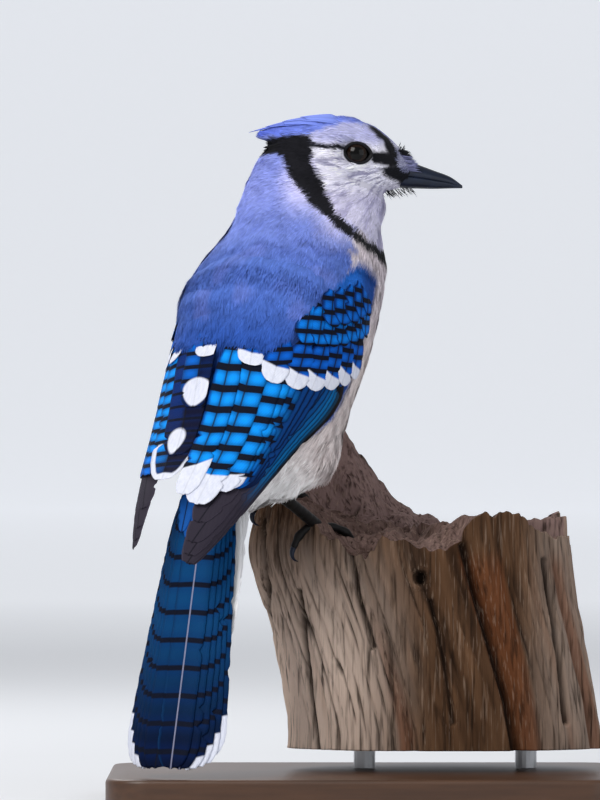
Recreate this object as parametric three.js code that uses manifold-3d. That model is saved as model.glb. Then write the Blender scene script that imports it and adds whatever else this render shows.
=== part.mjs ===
// A life-size blue jay on the broken rim of a short cut length of weathered trunk, held on a plain display stand.
// Millimetres, +Z up, +X the way the bill points. The bird's back faces -X and -Y, and its tail hangs clear of the wood.
// The origin is the middle of the base's underside.

import * as THREE from 'three';
import Module from 'manifold-3d';

const wasm = await Module();
wasm.setup();

// Driving dimensions
const gap = 0.3; // between two nodes that touch
const vaneThickness = 0.8;
const layerStep = 0.3; // from one flight feather to the one under it
const bodyHeading = 54; // degrees from +X towards +Y
const headHeading = 5;
const headCentre = [15, 6, 238];
const wingShoulder = { forward: -5, up: 200 }; // where the wings' long axis starts
const wingPitch = 58; // degrees below the horizon, towards the tail
const wingBulge = { right: 2, left: 6 }; // how far each folded wing stands out from an even cloak
const tailRoot = { forward: -57, up: 130 };
const tailPitch = 76.5;
const eyeRadius = 5;
const eyePlace = { forward: 5, side: 9.4, up: 1 }; // from the head's centre
const tarsusRadius = 1.55;
const toeRadius = 1.35;
const trunkMiddleY = 16;
const trunkHalfDepth = 40;
const trunkBottom = 19;
const brokenMiddle = 98; // height of the break's middle, from which it rises or falls to the rim
const grainLean = 0.12; // degrees that the grain turns round the trunk for each millimetre below the rim
const baseTop = 11;
const baseCentre = { x: 24.5, y: -5 };
const baseSize = { x: 190, y: 146, corner: 16 };
const rodRadius = 4;

// Arithmetic that every piece shares
const V = (x, y, z) => new THREE.Vector3(x, y, z);
const rad = THREE.MathUtils.degToRad;
const mix = THREE.MathUtils.lerp;
const smooth = THREE.MathUtils.smoothstep;

// The values of a table of stations at a place between two of them, on a smooth curve through all.
function between(stations, place) {
  const last = stations.length - 1;
  const at = Math.min(Math.max(place, stations[0].at), stations[last].at);
  let i = 0;
  while (i < last - 1 && stations[i + 1].at < at) i++;
  const [a, b] = [stations[i], stations[i + 1]];
  const span = b.at - a.at;
  const t = (at - a.at) / span;
  const slope = (k, key) => {
    const [before, after] = [stations[Math.max(k - 1, 0)], stations[Math.min(k + 1, last)]];
    return (after[key] - before[key]) / (after.at - before.at);
  };
  const found = {};
  for (const key of Object.keys(a)) {
    const [from, to] = [slope(i, key) * span, slope(i + 1, key) * span];
    found[key] =
      a[key] * (2 * t ** 3 - 3 * t ** 2 + 1) + from * (t ** 3 - 2 * t ** 2 + t) +
      b[key] * (3 * t ** 2 - 2 * t ** 3) + to * (t ** 3 - t ** 2);
  }
  return found;
}

// Solids, and how they are joined and cut
function solidOf(positions, triangles) {
  let volume = 0;
  const [a, b, c] = [V(), V(), V()];
  for (let i = 0; i < triangles.length; i += 3) {
    a.fromArray(positions, 3 * triangles[i]);
    b.fromArray(positions, 3 * triangles[i + 1]);
    c.fromArray(positions, 3 * triangles[i + 2]);
    volume += a.dot(b.cross(c));
  }
  if (volume < 0)
    for (let i = 0; i < triangles.length; i += 3)
      [triangles[i], triangles[i + 1]] = [triangles[i + 1], triangles[i]];
  return new wasm.Manifold(
    new wasm.Mesh({
      numProp: 3,
      vertProperties: new Float32Array(positions),
      triVerts: new Uint32Array(triangles),
    }),
  );
}

// A closed skin through rings of points. Faces after the column mirroredFrom are split the other way,
// so that the two faces of a thin vane are split alike.
function skin(rings, mirroredFrom = Infinity) {
  const sides = rings[0].length;
  const positions = rings.flat().flatMap((p) => [p.x, p.y, p.z]);
  const triangles = [];
  for (let r = 0; r < rings.length - 1; r++)
    for (let c = 0; c < sides; c++) {
      const a = r * sides + c;
      const b = r * sides + ((c + 1) % sides);
      const [d, e] = [a + sides, b + sides];
      if (c < mirroredFrom) triangles.push(a, b, e, a, e, d);
      else triangles.push(a, b, d, b, e, d);
    }
  for (const [ring, first, turned] of [
    [rings[0], 0, true],
    [rings[rings.length - 1], (rings.length - 1) * sides, false],
  ]) {
    const middle = ring.reduce((sum, p) => sum.add(p), V(0, 0, 0)).divideScalar(sides);
    const centre = positions.length / 3;
    positions.push(middle.x, middle.y, middle.z);
    for (let c = 0; c < sides; c++) {
      const [a, b] = [first + c, first + ((c + 1) % sides)];
      if (turned) triangles.push(b, a, centre);
      else triangles.push(a, b, centre);
    }
  }
  return solidOf(positions, triangles);
}

function joined(pieces) {
  return pieces.reduce((whole, piece) => whole.add(piece));
}

function largest(solid) {
  return solid.decompose().reduce((a, b) => (b.volume() > a.volume() ? b : a));
}

// A three.js geometry that is already closed, as a solid, with its faces' shared corners merged by their place.
function fromGeometry(geometry) {
  const source = geometry.index ? geometry.toNonIndexed() : geometry;
  const place = source.getAttribute('position');
  const found = new Map();
  const positions = [];
  const triangles = [];
  for (let i = 0; i < place.count; i++) {
    const key = [place.getX(i), place.getY(i), place.getZ(i)].map((v) => v.toFixed(4)).join();
    if (!found.has(key)) {
      found.set(key, positions.length / 3);
      positions.push(place.getX(i), place.getY(i), place.getZ(i));
    }
    triangles.push(found.get(key));
  }
  const kept = [];
  for (let i = 0; i < triangles.length; i += 3) {
    const [a, b, c] = triangles.slice(i, i + 3);
    if (a !== b && b !== c && c !== a) kept.push(a, b, c);
  }
  return solidOf(positions, kept);
}

// The space on one side of a plane, as a large block.
function sideOf(point, normal, offset = 0) {
  const size = 600;
  const block = new THREE.BoxGeometry(size, size, size);
  block.translate(0, 0, size / 2 + offset);
  block.applyQuaternion(new THREE.Quaternion().setFromUnitVectors(V(0, 0, 1), normal.clone().normalize()));
  block.translate(point.x, point.y, point.z);
  return fromGeometry(block);
}

function ball(centre, radius, sides) {
  const geometry = new THREE.SphereGeometry(radius, sides, Math.round(sides * 0.7));
  geometry.translate(centre.x, centre.y, centre.z);
  return fromGeometry(geometry);
}

// A round limb through points, such as a toe or a claw, with radii spread evenly along it. Extra makes it larger
// all over, for the room that it needs in another node.
function limb(points, radii, { sides = 8, steps = 6, extra = 0 } = {}) {
  const curve = new THREE.CatmullRomCurve3(points);
  const frames = curve.computeFrenetFrames(steps, false);
  const rings = [];
  for (let i = 0; i <= steps; i++) {
    const centre = curve.getPointAt(i / steps);
    if (i === 0) centre.addScaledVector(frames.tangents[0], -extra);
    if (i === steps) centre.addScaledVector(frames.tangents[steps], extra);
    const along = (i / steps) * (radii.length - 1);
    const k = Math.min(Math.floor(along), radii.length - 2);
    const radius = mix(radii[k], radii[k + 1], along - k) + extra;
    rings.push(
      Array.from({ length: sides }, (_, c) => {
        const turn = (c / sides) * 2 * Math.PI;
        return centre
          .clone()
          .addScaledVector(frames.normals[i], radius * Math.cos(turn))
          .addScaledVector(frames.binormals[i], radius * Math.sin(turn));
      }),
    );
  }
  return skin(rings);
}

// How wide a feather is along its length, as a share of its greatest width.
function featherWidth(along, rounding) {
  const root = mix(0.45, 1, smooth(along, 0, 0.3));
  const end = Math.max(0, (along - rounding) / (1 - rounding));
  return root * Math.max(0.14, Math.sqrt(Math.max(0, 1 - end * end)));
}

// One feather's vane. place(along, across, depth) puts a point of it: along runs from 0 at the root to 1 at the tip,
// across is in millimetres from the shaft, and depth in millimetres below the upper face.
function vane(place, width, { rounding = 0.8, rows = [0, 0.5, 0.82, 1], thickness = vaneThickness, columns = 3 } = {}) {
  const rings = rows.map((along) => {
    const half = (width / 2) * featherWidth(along, rounding);
    const across = Array.from({ length: columns }, (_, c) => half * ((2 * c) / (columns - 1) - 1));
    const thin = mix(thickness, 0.5, along);
    return [...across.map((w) => place(along, w, 0)), ...across.reverse().map((w) => place(along, w, thin))];
  });
  return skin(rings, columns);
}

// The bird's own directions: forward, to its right, and up
const heading = rad(bodyHeading);
function bodyPoint(forward, right, up) {
  return V(
    forward * Math.cos(heading) + right * Math.sin(heading),
    forward * Math.sin(heading) - right * Math.cos(heading),
    up,
  );
}
function headPoint(forward, right, up) {
  const turn = rad(headHeading);
  return V(
    headCentre[0] + forward * Math.cos(turn) + right * Math.sin(turn),
    headCentre[1] + forward * Math.sin(turn) - right * Math.cos(turn),
    headCentre[2] + up,
  );
}

// Torso and neck: level sections from the vent up to the nape, each an ellipse turned to its own heading
const bodySections = [
  { at: 105, forward: -52, aside: 0, heading: 54, halfWidth: 3, halfDepth: 4 },
  { at: 110, forward: -45, aside: 0, heading: 54, halfWidth: 11, halfDepth: 13 },
  { at: 118, forward: -36, aside: 0, heading: 54, halfWidth: 18, halfDepth: 20 },
  { at: 127, forward: -27.5, aside: 0, heading: 54, halfWidth: 24.5, halfDepth: 26.5 },
  { at: 137, forward: -22, aside: 0, heading: 54, halfWidth: 29, halfDepth: 30.5 },
  { at: 148, forward: -19, aside: -1.5, heading: 54, halfWidth: 33, halfDepth: 33 },
  { at: 165, forward: -12.7, aside: -3, heading: 54, halfWidth: 36.5, halfDepth: 36 },
  { at: 185, forward: -8.2, aside: -2.5, heading: 54, halfWidth: 38, halfDepth: 37.5 },
  { at: 198, forward: -3, aside: -1, heading: 54, halfWidth: 34.5, halfDepth: 35.5 },
  { at: 205, forward: -0.3, aside: 0, heading: 50, halfWidth: 31.5, halfDepth: 32.5 },
  { at: 213, forward: 3.6, aside: 0.6, heading: 30, halfWidth: 26.5, halfDepth: 29.5 },
  { at: 222, forward: 7.1, aside: 1.3, heading: 12, halfWidth: 20.5, halfDepth: 28 },
  { at: 230, forward: 7.3, aside: -0.3, heading: 5, halfWidth: 17, halfDepth: 23.5 },
  { at: 238, forward: 7.8, aside: 0.5, heading: 5, halfWidth: 13.5, halfDepth: 20 },
  { at: 245, forward: 8, aside: 0, heading: 5, halfWidth: 8, halfDepth: 13 },
];

function bodyColumn(extra = 0) {
  const sides = 24;
  const rows = 16;
  const [low, high] = [bodySections[0].at, bodySections[bodySections.length - 1].at];
  return skin(
    Array.from({ length: rows + 1 }, (_, r) => {
      const s = between(bodySections, mix(low, high, r / rows));
      const centre = bodyPoint(s.forward, s.aside, s.at);
      const turn = rad(s.heading);
      return Array.from({ length: sides }, (_, c) => {
        const angle = (c / sides) * 2 * Math.PI;
        const ahead = (s.halfDepth + extra) * Math.cos(angle);
        const beside = (s.halfWidth + extra) * Math.sin(angle);
        return centre.clone().add(
          V(
            ahead * Math.cos(turn) + beside * Math.sin(turn),
            ahead * Math.sin(turn) - beside * Math.cos(turn),
            r === 0 ? -extra : r === rows ? extra : 0,
          ),
        );
      });
    }),
  );
}

// Head: upright sections from the back of the skull to the root of the bill
const headSections = [
  { at: -24, top: 4, bottom: 4, halfWidth: 4 },
  { at: -20, top: 9.5, bottom: 9, halfWidth: 9 },
  { at: -12, top: 13, bottom: 13, halfWidth: 13 },
  { at: -3, top: 14, bottom: 15, halfWidth: 14.3 },
  { at: 6, top: 13.8, bottom: 15, halfWidth: 13.2 },
  { at: 13, top: 12, bottom: 14.2, halfWidth: 11.2 },
  { at: 19, top: 7.4, bottom: 13, halfWidth: 8.6 },
  { at: 24, top: 2.2, bottom: 11.4, halfWidth: 6 },
  { at: 27.5, top: -1.5, bottom: 10.2, halfWidth: 4.2 },
];

function headLoft(extra = 0) {
  const sides = 20;
  const rows = 10;
  const [back, front] = [headSections[0].at, headSections[headSections.length - 1].at];
  return skin(
    Array.from({ length: rows + 1 }, (_, r) => {
      const s = between(headSections, mix(back, front, r / rows));
      const middle = (s.top - s.bottom) / 2;
      return Array.from({ length: sides }, (_, c) => {
        const angle = (c / sides) * 2 * Math.PI;
        const beside = (s.halfWidth + extra) * Math.cos(angle);
        const above = middle + ((s.top + s.bottom) / 2 + extra) * Math.sin(angle);
        return headPoint(s.at, beside, above);
      });
    }),
  );
}

// Bill: two mandibles that part along the line of the mouth
const billSections = [
  { at: 17, culmen: 0, mouth: -6.3, chin: -10.6, halfWidth: 5.2 },
  { at: 23, culmen: -0.6, mouth: -6.9, chin: -11.4, halfWidth: 4.7 },
  { at: 29, culmen: -2.7, mouth: -7.6, chin: -11.6, halfWidth: 3.9 },
  { at: 35, culmen: -4.9, mouth: -8.5, chin: -11.7, halfWidth: 3 },
  { at: 41, culmen: -7.2, mouth: -9.6, chin: -11.5, halfWidth: 1.9 },
  { at: 45.5, culmen: -10.4, mouth: -11, chin: -11.4, halfWidth: 0.45 },
];

function mandible(upper, extra = 0) {
  const rows = 10;
  const round = 7;
  const [back, front] = [billSections[0].at, billSections[billSections.length - 1].at];
  return skin(
    Array.from({ length: rows + 1 }, (_, r) => {
      const s = between(billSections, mix(back, front, r / rows));
      const flat = upper ? s.mouth + gap / 2 - extra : s.mouth - gap / 2 + extra;
      const far = upper ? s.culmen + extra : s.chin - extra;
      return Array.from({ length: round }, (_, c) => {
        const angle = (c / (round - 1)) * Math.PI;
        const edge = c === 0 || c === round - 1;
        return headPoint(
          s.at + (r === rows ? extra : r === 0 ? -extra : 0),
          (s.halfWidth + extra) * Math.cos(angle),
          edge ? flat : mix(flat, far, Math.sin(angle) ** 0.8),
        );
      });
    }),
  );
}

// Crest: long narrow feathers in tiers from the crown, lying back past the skull to one point
const crestSections = [
  { at: -35, top: 9.2, halfWidth: 1.2, halfHeight: 1 },
  { at: -30, top: 10.6, halfWidth: 3.8, halfHeight: 2.6 },
  { at: -22, top: 13, halfWidth: 7.4, halfHeight: 5.4 },
  { at: -12, top: 15, halfWidth: 11.4, halfHeight: 8 },
  { at: -2, top: 15.9, halfWidth: 12.6, halfHeight: 9 },
  { at: 7, top: 14.9, halfWidth: 10.6, halfHeight: 8.5 },
  { at: 14, top: 11.6, halfWidth: 7.5, halfHeight: 7 },
];
const crestTiers = [
  { root: 7, tip: -14, count: 3, spread: 40, lift: 0 },
  { root: 0, tip: -23, count: 3, spread: 46, lift: 0.35 },
  { root: -8, tip: -30, count: 3, spread: 44, lift: 0.7 },
  { root: -13, tip: -34.5, count: 1, spread: 22, lift: 0.9 },
];

function crestPoint(forward, angle, depth) {
  const s = between(crestSections, forward);
  return headPoint(
    Math.min(forward, 14),
    (s.halfWidth - depth) * Math.sin(angle),
    s.top - s.halfHeight + (s.halfHeight - depth) * Math.cos(angle),
  );
}

function crest() {
  const arc = 6;
  const reach = rad(74);
  const cap = skin(
    Array.from({ length: 4 }, (_, r) => {
      const forward = mix(-19, 12, r / 3);
      const top = Array.from({ length: arc }, (_, c) =>
        crestPoint(forward, mix(-reach, reach, c / (arc - 1)), 0.4));
      const under = Array.from({ length: arc }, (_, c) =>
        crestPoint(forward, mix(reach, -reach, c / (arc - 1)), 3.4));
      return [...top, ...under];
    }),
    arc,
  );
  const vanes = crestTiers.flatMap((tier) =>
    Array.from({ length: tier.count }, (_, k) => {
      const share = tier.count > 1 ? (2 * k) / (tier.count - 1) - 1 : 0;
      const place = (along, across, depth) => {
        const forward = mix(tier.root, tier.tip, along);
        const s = between(crestSections, forward);
        const angle = rad(tier.spread) * share * mix(1, 0.62, along) + across / (s.halfWidth + 1);
        return crestPoint(forward, angle, tier.lift + depth + 0.3 * (1 - along) - 0.2);
      };
      return vane(place, 8, { rounding: 0.45, rows: [0, 0.4, 0.75, 1], thickness: 0.8, columns: 2 });
    }),
  );
  return joined([cap, ...vanes]);
}

// The folded wings lie on one tapering cloak round the bird's back. A place on it is given by its distance
// from the shoulder, its angle from the middle of the back, and its depth below the outermost feather.
const cloakSections = [
  { at: 0, drop: -2, halfWidth: 32, halfDepth: 30 },
  { at: 14, drop: -5, halfWidth: 36, halfDepth: 33.5 },
  { at: 50, drop: -12, halfWidth: 35.5, halfDepth: 35 },
  { at: 81, drop: -3.6, halfWidth: 29.5, halfDepth: 20 },
  { at: 114, drop: 3.7, halfWidth: 23.5, halfDepth: 13.5 },
  { at: 140, drop: 8, halfWidth: 17, halfDepth: 8 },
];

function cloakPoint(side, distance, angle, depth) {
  const s = between(cloakSections, distance);
  const above = s.drop + (s.halfDepth - depth) * Math.cos(angle);
  const standsOut = side > 0 ? wingBulge.right : wingBulge.left;
  const bulge = standsOut * Math.sin(Math.PI * Math.min(Math.max(distance / 132, 0), 1));
  const pitch = rad(wingPitch);
  const extra = distance - Math.min(distance, 140);
  return bodyPoint(
    wingShoulder.forward - (distance + extra) * Math.cos(pitch) - above * Math.sin(pitch),
    side * (s.halfWidth + bulge - depth) * Math.sin(angle),
    wingShoulder.up - (distance + extra) * Math.sin(pitch) + above * Math.cos(pitch),
  );
}

// Millimetres along the cloak for one radian round it
function cloakRadius(distance, angle) {
  const s = between(cloakSections, distance);
  return Math.hypot(s.halfWidth * Math.cos(angle), s.halfDepth * Math.sin(angle));
}

function wingFeathers() {
  const list = [];
  const put = (root, tip, width, layer, rounding) => list.push({ root, tip, width, layer, rounding });
  put([42, 8], [87, 13], 17, 0, 0.8);
  put([40, 16], [103, 14], 18, 1, 0.84);
  put([38, 28], [110, 23], 18, 2, 0.86);
  for (let k = 0; k < 6; k++) put([40, 39 + 6.4 * k], [109 - 0.7 * k, 33 + 6.6 * k], 14.5, 2.7 + 0.7 * k, 0.88);
  const primaryTips = [119, 126, 131, 134, 135, 130, 122];
  primaryTips.forEach((end, k) => put([36, 74 + 2.4 * k], [end, 40 + 6.4 * k], 13, 6.9 + 0.8 * k, 0.84));
  return list.map((f) => ({ ...f, depth: () => f.layer * layerStep }));
}

// Two tiers of coverts, which lie on the flight feathers. The greater ones end in the white band.
function coverts() {
  const list = [];
  const depth = (angle) => layerStep * mix(0, 9, smooth(angle, 10, 96));
  const put = (end, angle, length, width, lift) =>
    list.push({
      root: [end - length, angle - 2],
      tip: [end, angle],
      width,
      rounding: 0.7,
      depth: (along, at) => depth(at) - lift * mix(0.5, 1, along),
    });
  for (let k = 0; k < 8; k++) put(mix(57, 40, k / 7), mix(22, 92, k / 7), 19, 10.5, 0.9 + 0.25 * (k % 2));
  for (let k = 0; k < 6; k++) put(mix(38, 27, k / 5), mix(40, 90, k / 5), 15, 11, 1.5 + 0.25 * (k % 2));
  return list;
}

// The rows of a feather that lies on the cloak stand at distances that all such feathers share.
function rowsAlong(root, tip) {
  const shared = [68, 95, 118].filter((d) => d > root + 10 && d < tip - 6);
  return [root, ...shared, tip - 3, tip].map((d) => (d - root) / (tip - root));
}

function wing(side, keepOut) {
  const arc = 7;
  const reach = side > 0 ? 1 : 0.955;
  const arm = skin(
    [14, 28, 46, 78].map((distance) => {
      const first = rad(mix(50, 6, smooth(distance, 10, 36)));
      const last = rad(mix(98, 74, smooth(distance, 30, 80)));
      const top = Array.from({ length: arc }, (_, c) =>
        cloakPoint(side, distance, mix(first, last, c / (arc - 1)), 0.9));
      const under = Array.from({ length: arc }, (_, c) =>
        cloakPoint(side, distance, mix(last, first, c / (arc - 1)), 10));
      return [...top, ...under];
    }),
    arc,
  );
  const vanes = [...wingFeathers(), ...coverts()].map((f) => {
    const place = (along, across, depth) => {
      const distance = mix(f.root[0], f.tip[0], along) * reach;
      const angle = rad(mix(f.root[1], f.tip[1], along));
      const turn = across / cloakRadius(distance, angle);
      return cloakPoint(side, distance, angle + turn, f.depth(along, ((angle + turn) * 180) / Math.PI) + depth);
    };
    const long = f.tip[0] - f.root[0] > 30;
    return vane(place, f.width, {
      rounding: f.rounding,
      rows: long ? rowsAlong(f.root[0], f.tip[0]) : [0, 0.5, 0.82, 1],
      columns: long ? 3 : 2,
      thickness: long ? vaneThickness : 1.6,
    });
  });
  const middle = sideOf(bodyPoint(0, 0, 0), bodyPoint(0, -side, 0), -gap);
  return largest(joined([arm, ...vanes]).subtract(keepOut).subtract(middle));
}

// Tail: six feathers a side, the middle pair on top, with short coverts over and long white ones under their roots
function tailPoint(along, right, above) {
  const pitch = rad(tailPitch);
  const arched = above - 0.006 * right * right;
  return bodyPoint(
    tailRoot.forward - along * Math.cos(pitch) - arched * Math.sin(pitch),
    right,
    tailRoot.up - along * Math.sin(pitch) + arched * Math.cos(pitch),
  );
}

const tailFeathers = [
  { length: 118, root: 1, tip: 3.6, width: 14.5 },
  { length: 118, root: 2, tip: 7, width: 14.5 },
  { length: 118, root: 3, tip: 9.9, width: 14 },
  { length: 117, root: 3.8, tip: 12.4, width: 13.5 },
  { length: 115.5, root: 4.6, tip: 14.7, width: 13 },
  { length: 112, root: 5.4, tip: 16.8, width: 12.5 },
];

function tail(keepOut) {
  const pieces = [];
  const block = new THREE.SphereGeometry(1, 8, 6);
  const place = block.getAttribute('position');
  for (let i = 0; i < place.count; i++) {
    const p = tailPoint(12 + 22 * place.getZ(i), 9.5 * place.getX(i), -4.2 + 5.4 * place.getY(i));
    place.setXYZ(i, p.x, p.y, p.z);
  }
  pieces.push(fromGeometry(block));
  tailFeathers.forEach((f, k) => {
    for (const side of [-1, 1]) {
      const layer = 0.5 * k + (side < 0 ? 0.25 : 0);
      pieces.push(
        vane(
          (along, across, depth) =>
            tailPoint(
              f.length * along,
              side * mix(f.root, f.tip, along ** 0.9) + across,
              -layer - depth,
            ),
          f.width,
          { rounding: 0.88, rows: [0, 0.5, 0.94, 1] },
        ),
      );
    }
  });
  for (const [count, reach, spread, height, drop, length, width] of [
    [3, 34, 5, 1.1, 0, 40, 10],
    [4, 72, 14.5, -5, -3, 60, 12],
    [3, 52, 8.5, -7, -4.5, 44, 12],
  ])
    for (let k = 0; k < count; k++) {
      const share = count > 1 ? (2 * k) / (count - 1) - 1 : 0;
      const start = reach - length;
      pieces.push(
        vane(
          (along, across, depth) =>
            tailPoint(
              start + length * along - Math.abs(share) * 5 * along,
              share * spread * mix(0.5, 1, along) + across,
              mix(height + drop * 0.4, height - drop * 0.25, along) - 0.25 * (k % 2) - depth - 0.012 * across ** 2,
            ),
          width,
          { rounding: 0.6, thickness: 0.7, columns: 2 },
        ),
      );
    }
  return largest(joined(pieces).subtract(keepOut));
}

// Trunk: broken off on a slant, highest behind the bird. A bearing of 0 is its left end, 90 its near side,
// 180 its right end and 270 its far side.
const rimHeights = [
  [0, 112], [24, 111], [37, 112], [45, 108.5], [51, 103], [56, 99], [61, 97], [67, 91.4], [73, 90], [76.6, 92],
  [79.5, 99.5], [82.7, 95.5], [86.3, 97.3], [91.6, 93], [99.4, 93], [106, 96.2], [108, 100.6], [111, 105.8],
  [113.8, 107.7], [117.8, 104.3], [122.3, 106.6], [129.3, 106.2], [133, 103], [137, 99.2], [144, 98.8],
  [151, 97.3], [165, 97.7], [174, 94.4], [180, 74], [187, 72], [191, 104], [201, 106], [207, 98], [215, 92],
  [252, 91], [256, 94.5], [261, 101], [266, 103.9], [275, 109.2], [282, 118], [289, 128], [295, 137],
  [301, 143], [310, 141], [320, 132], [332, 121], [348, 114.5], [360, 112],
];

function rimHeight(bearing) {
  const i = rimHeights.findIndex(([at]) => at >= bearing);
  if (i <= 0) return rimHeights[0][1];
  const [[a, low], [b, high]] = [rimHeights[i - 1], rimHeights[i]];
  return mix(low, high, (bearing - a) / (b - a));
}

const trunkSections = [
  { at: 18, middle: 54, halfWidth: 58 },
  { at: 26, middle: 54, halfWidth: 57.4 },
  { at: 41, middle: 52.1, halfWidth: 57.1 },
  { at: 59, middle: 48.9, halfWidth: 57.3 },
  { at: 74, middle: 45.5, halfWidth: 58 },
  { at: 92, middle: 42.2, halfWidth: 59.4 },
  { at: 111, middle: 43, halfWidth: 56.5 },
  { at: 145, middle: 40, halfWidth: 51 },
];

// Long weathered furrows, each at a bearing, with its depth and half its width in degrees
const furrows = [[31, 1.6, 3], [70, 3.2, 3.5], [108, 5, 3.5], [146, 2, 3], [184, 5, 5], [233, 2.5, 5]];

function trunkSwell(bearing) {
  const turn = rad(bearing);
  let swell = 1 + 0.02 * Math.sin(3 * turn + 0.5) + 0.014 * Math.sin(7 * turn + 2);
  for (const [at, depth, half] of furrows)
    swell -= (depth / 50) * Math.max(0, 1 - Math.abs(bearing - at) / half);
  return swell;
}

// Coarse splinters of the broken surface: how far it rises or falls, less and less towards the rim
function splinter(bearing, reach) {
  const turn = rad(bearing);
  const share = Math.min(1, (1 - reach) / 0.2);
  return share * (2.4 * Math.sin(9 * turn + 5 * reach) + 1.8 * Math.sin(5 * turn - 9 * reach));
}

function trunkPoint(bearing, reach, height) {
  const turn = rad(bearing + grainLean * Math.max(0, rimHeight(bearing) - height) * smooth(reach, 0.9, 1));
  const square = (v) => Math.sign(v) * Math.abs(v) ** 0.92;
  const swell = mix(1, trunkSwell(bearing), reach);
  const s = between(trunkSections, height);
  return V(
    s.middle - s.halfWidth * reach * swell * square(Math.cos(turn)),
    trunkMiddleY - trunkHalfDepth * reach * swell * square(Math.sin(turn)),
    height,
  );
}

function trunk(keepOut) {
  const bearings = [];
  for (const [at] of rimHeights.slice(0, -1)) bearings.push(at);
  for (const [at, , half] of furrows) bearings.push(at - half, at, at + half);
  for (let at = 0; at < 360; at += 20) bearings.push(at);
  const sorted = bearings
    .map((b) => (b + 360) % 360)
    .sort((a, b) => a - b)
    .filter((b, i, all) => i === 0 || b - all[i - 1] > 3);
  const rings = [];
  for (const share of [0, 0.4, 0.75, 1])
    rings.push(sorted.map((b) => trunkPoint(b, 1, mix(trunkBottom, rimHeight(b), share))));
  for (const reach of [0.88, 0.72, 0.56, 0.36])
    rings.push(sorted.map((b) => {
      const slope = mix(brokenMiddle, rimHeight(b), reach ** 1.8);
      return trunkPoint(b, reach, slope + splinter(b, reach));
    }));
  return largest(skin(rings).subtract(keepOut));
}

// Legs: a feathered thigh, a bare tarsus, and a foot whose three front toes lie over the rim
const legs = [
  { name: 'right', side: 1, ankle: [-34, 12, 116], foot: [7, -12, 101.3], turn: 54 },
  { name: 'left', side: -1, ankle: [-34, -12, 121], foot: [-9.5, 7, 114.2], turn: 42 },
];
const toes = [
  { name: 'inner', swing: 24, length: 15 },
  { name: 'middle', swing: 0, length: 19 },
  { name: 'outer', swing: -26, length: 16 },
];

function thigh(leg) {
  const [forward, right, up] = leg.ankle;
  return limb(
    [
      bodyPoint(-8, leg.side * 17, 143),
      bodyPoint(-18, leg.side * 17, 131),
      bodyPoint(-28, leg.side * 14, 121),
      bodyPoint(forward, right, up),
    ],
    [9, 12, 8, 3.4],
    { sides: 12 },
  );
}

function tarsus(leg, extra = 0) {
  const ankle = bodyPoint(...leg.ankle);
  const foot = V(...leg.foot);
  const middle = ankle.clone().lerp(foot, 0.5);
  return limb([ankle, middle, foot.clone().lerp(ankle, 0.08)], [2.1, tarsusRadius, 1.7], { sides: 9, extra });
}

// The line of one front toe, from the foot out along its heading and down over the inner lip
function toeLine(leg, toe) {
  const [x, y, z] = leg.foot;
  const bearing = rad(leg.turn + toe.swing);
  const along = (distance, fall) =>
    V(x + distance * Math.cos(bearing), y + distance * Math.sin(bearing), z - fall);
  const n = toe.length;
  return [along(0, 0.4), along(n * 0.36, 0.2), along(n * 0.7, 2.2), along(n * 0.94, 6.2)];
}

function hindToeLine(leg) {
  const [x, y, z] = leg.foot;
  const back = leg.side > 0 ? V(-0.86, -0.5, 0) : V(-0.72, -0.69, 0);
  return [
    V(x, y, z - 0.4),
    V(x, y, z).addScaledVector(back, 4.4).add(V(0, 0, -0.3)),
    V(x, y, z).addScaledVector(back, 8.6).add(V(0, 0, -3.4)),
    V(x, y, z).addScaledVector(back, 10.9).add(V(0, 0, -7.6)),
  ];
}

function foot(leg, extra = 0) {
  const pieces = [ball(V(...leg.foot).add(V(0, 0, -0.1)), 2.3 + extra, 9)];
  for (const line of [...toes.map((toe) => toeLine(leg, toe)), hindToeLine(leg)])
    pieces.push(limb(line, [toeRadius + 0.25, toeRadius, toeRadius * 1.1, toeRadius * 0.8], { sides: 6, steps: 5, extra }));
  return joined(pieces);
}

// A claw carries on from the end of its toe and curls under.
function claw(line, curl, size, extra = 0) {
  const end = line[3];
  const out = end.clone().sub(line[2]).normalize();
  const start = end.clone().addScaledVector(out, gap);
  const points = [0, 0.35, 0.7, 1].map((s) =>
    start.clone().addScaledVector(out, size * Math.sin(s * 1.5) * 0.75)
      .addScaledVector(curl, size * (1 - Math.cos(s * 1.5)) * 0.8));
  return limb(points, [1.05, 0.85, 0.5, 0.2], { sides: 6, steps: 4, extra });
}

// Stand: a plain base and two short rods
function standBase() {
  const [w, d, r] = [baseSize.x / 2, baseSize.y / 2, baseSize.corner];
  const outline = new THREE.Shape();
  outline.moveTo(-w + r, -d);
  outline.absarc(w - r, -d + r, r, -Math.PI / 2, 0);
  outline.absarc(w - r, d - r, r, 0, Math.PI / 2);
  outline.absarc(-w + r, d - r, r, Math.PI / 2, Math.PI);
  outline.absarc(-w + r, -d + r, r, Math.PI, 1.5 * Math.PI);
  outline.closePath();
  const bevel = 1.6;
  const geometry = new THREE.ExtrudeGeometry(outline, {
    depth: baseTop - 2 * bevel,
    bevelThickness: bevel,
    bevelSize: bevel,
    bevelOffset: -bevel,
    bevelSegments: 1,
    curveSegments: 5,
  });
  geometry.translate(baseCentre.x, baseCentre.y, bevel);
  return fromGeometry(geometry);
}

function standRod(x, y) {
  const height = trunkBottom - baseTop - 2 * gap;
  const geometry = new THREE.CylinderGeometry(rodRadius, rodRadius, height, 16);
  geometry.rotateX(Math.PI / 2);
  geometry.translate(x, y, baseTop + gap + height / 2);
  return fromGeometry(geometry);
}

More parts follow.
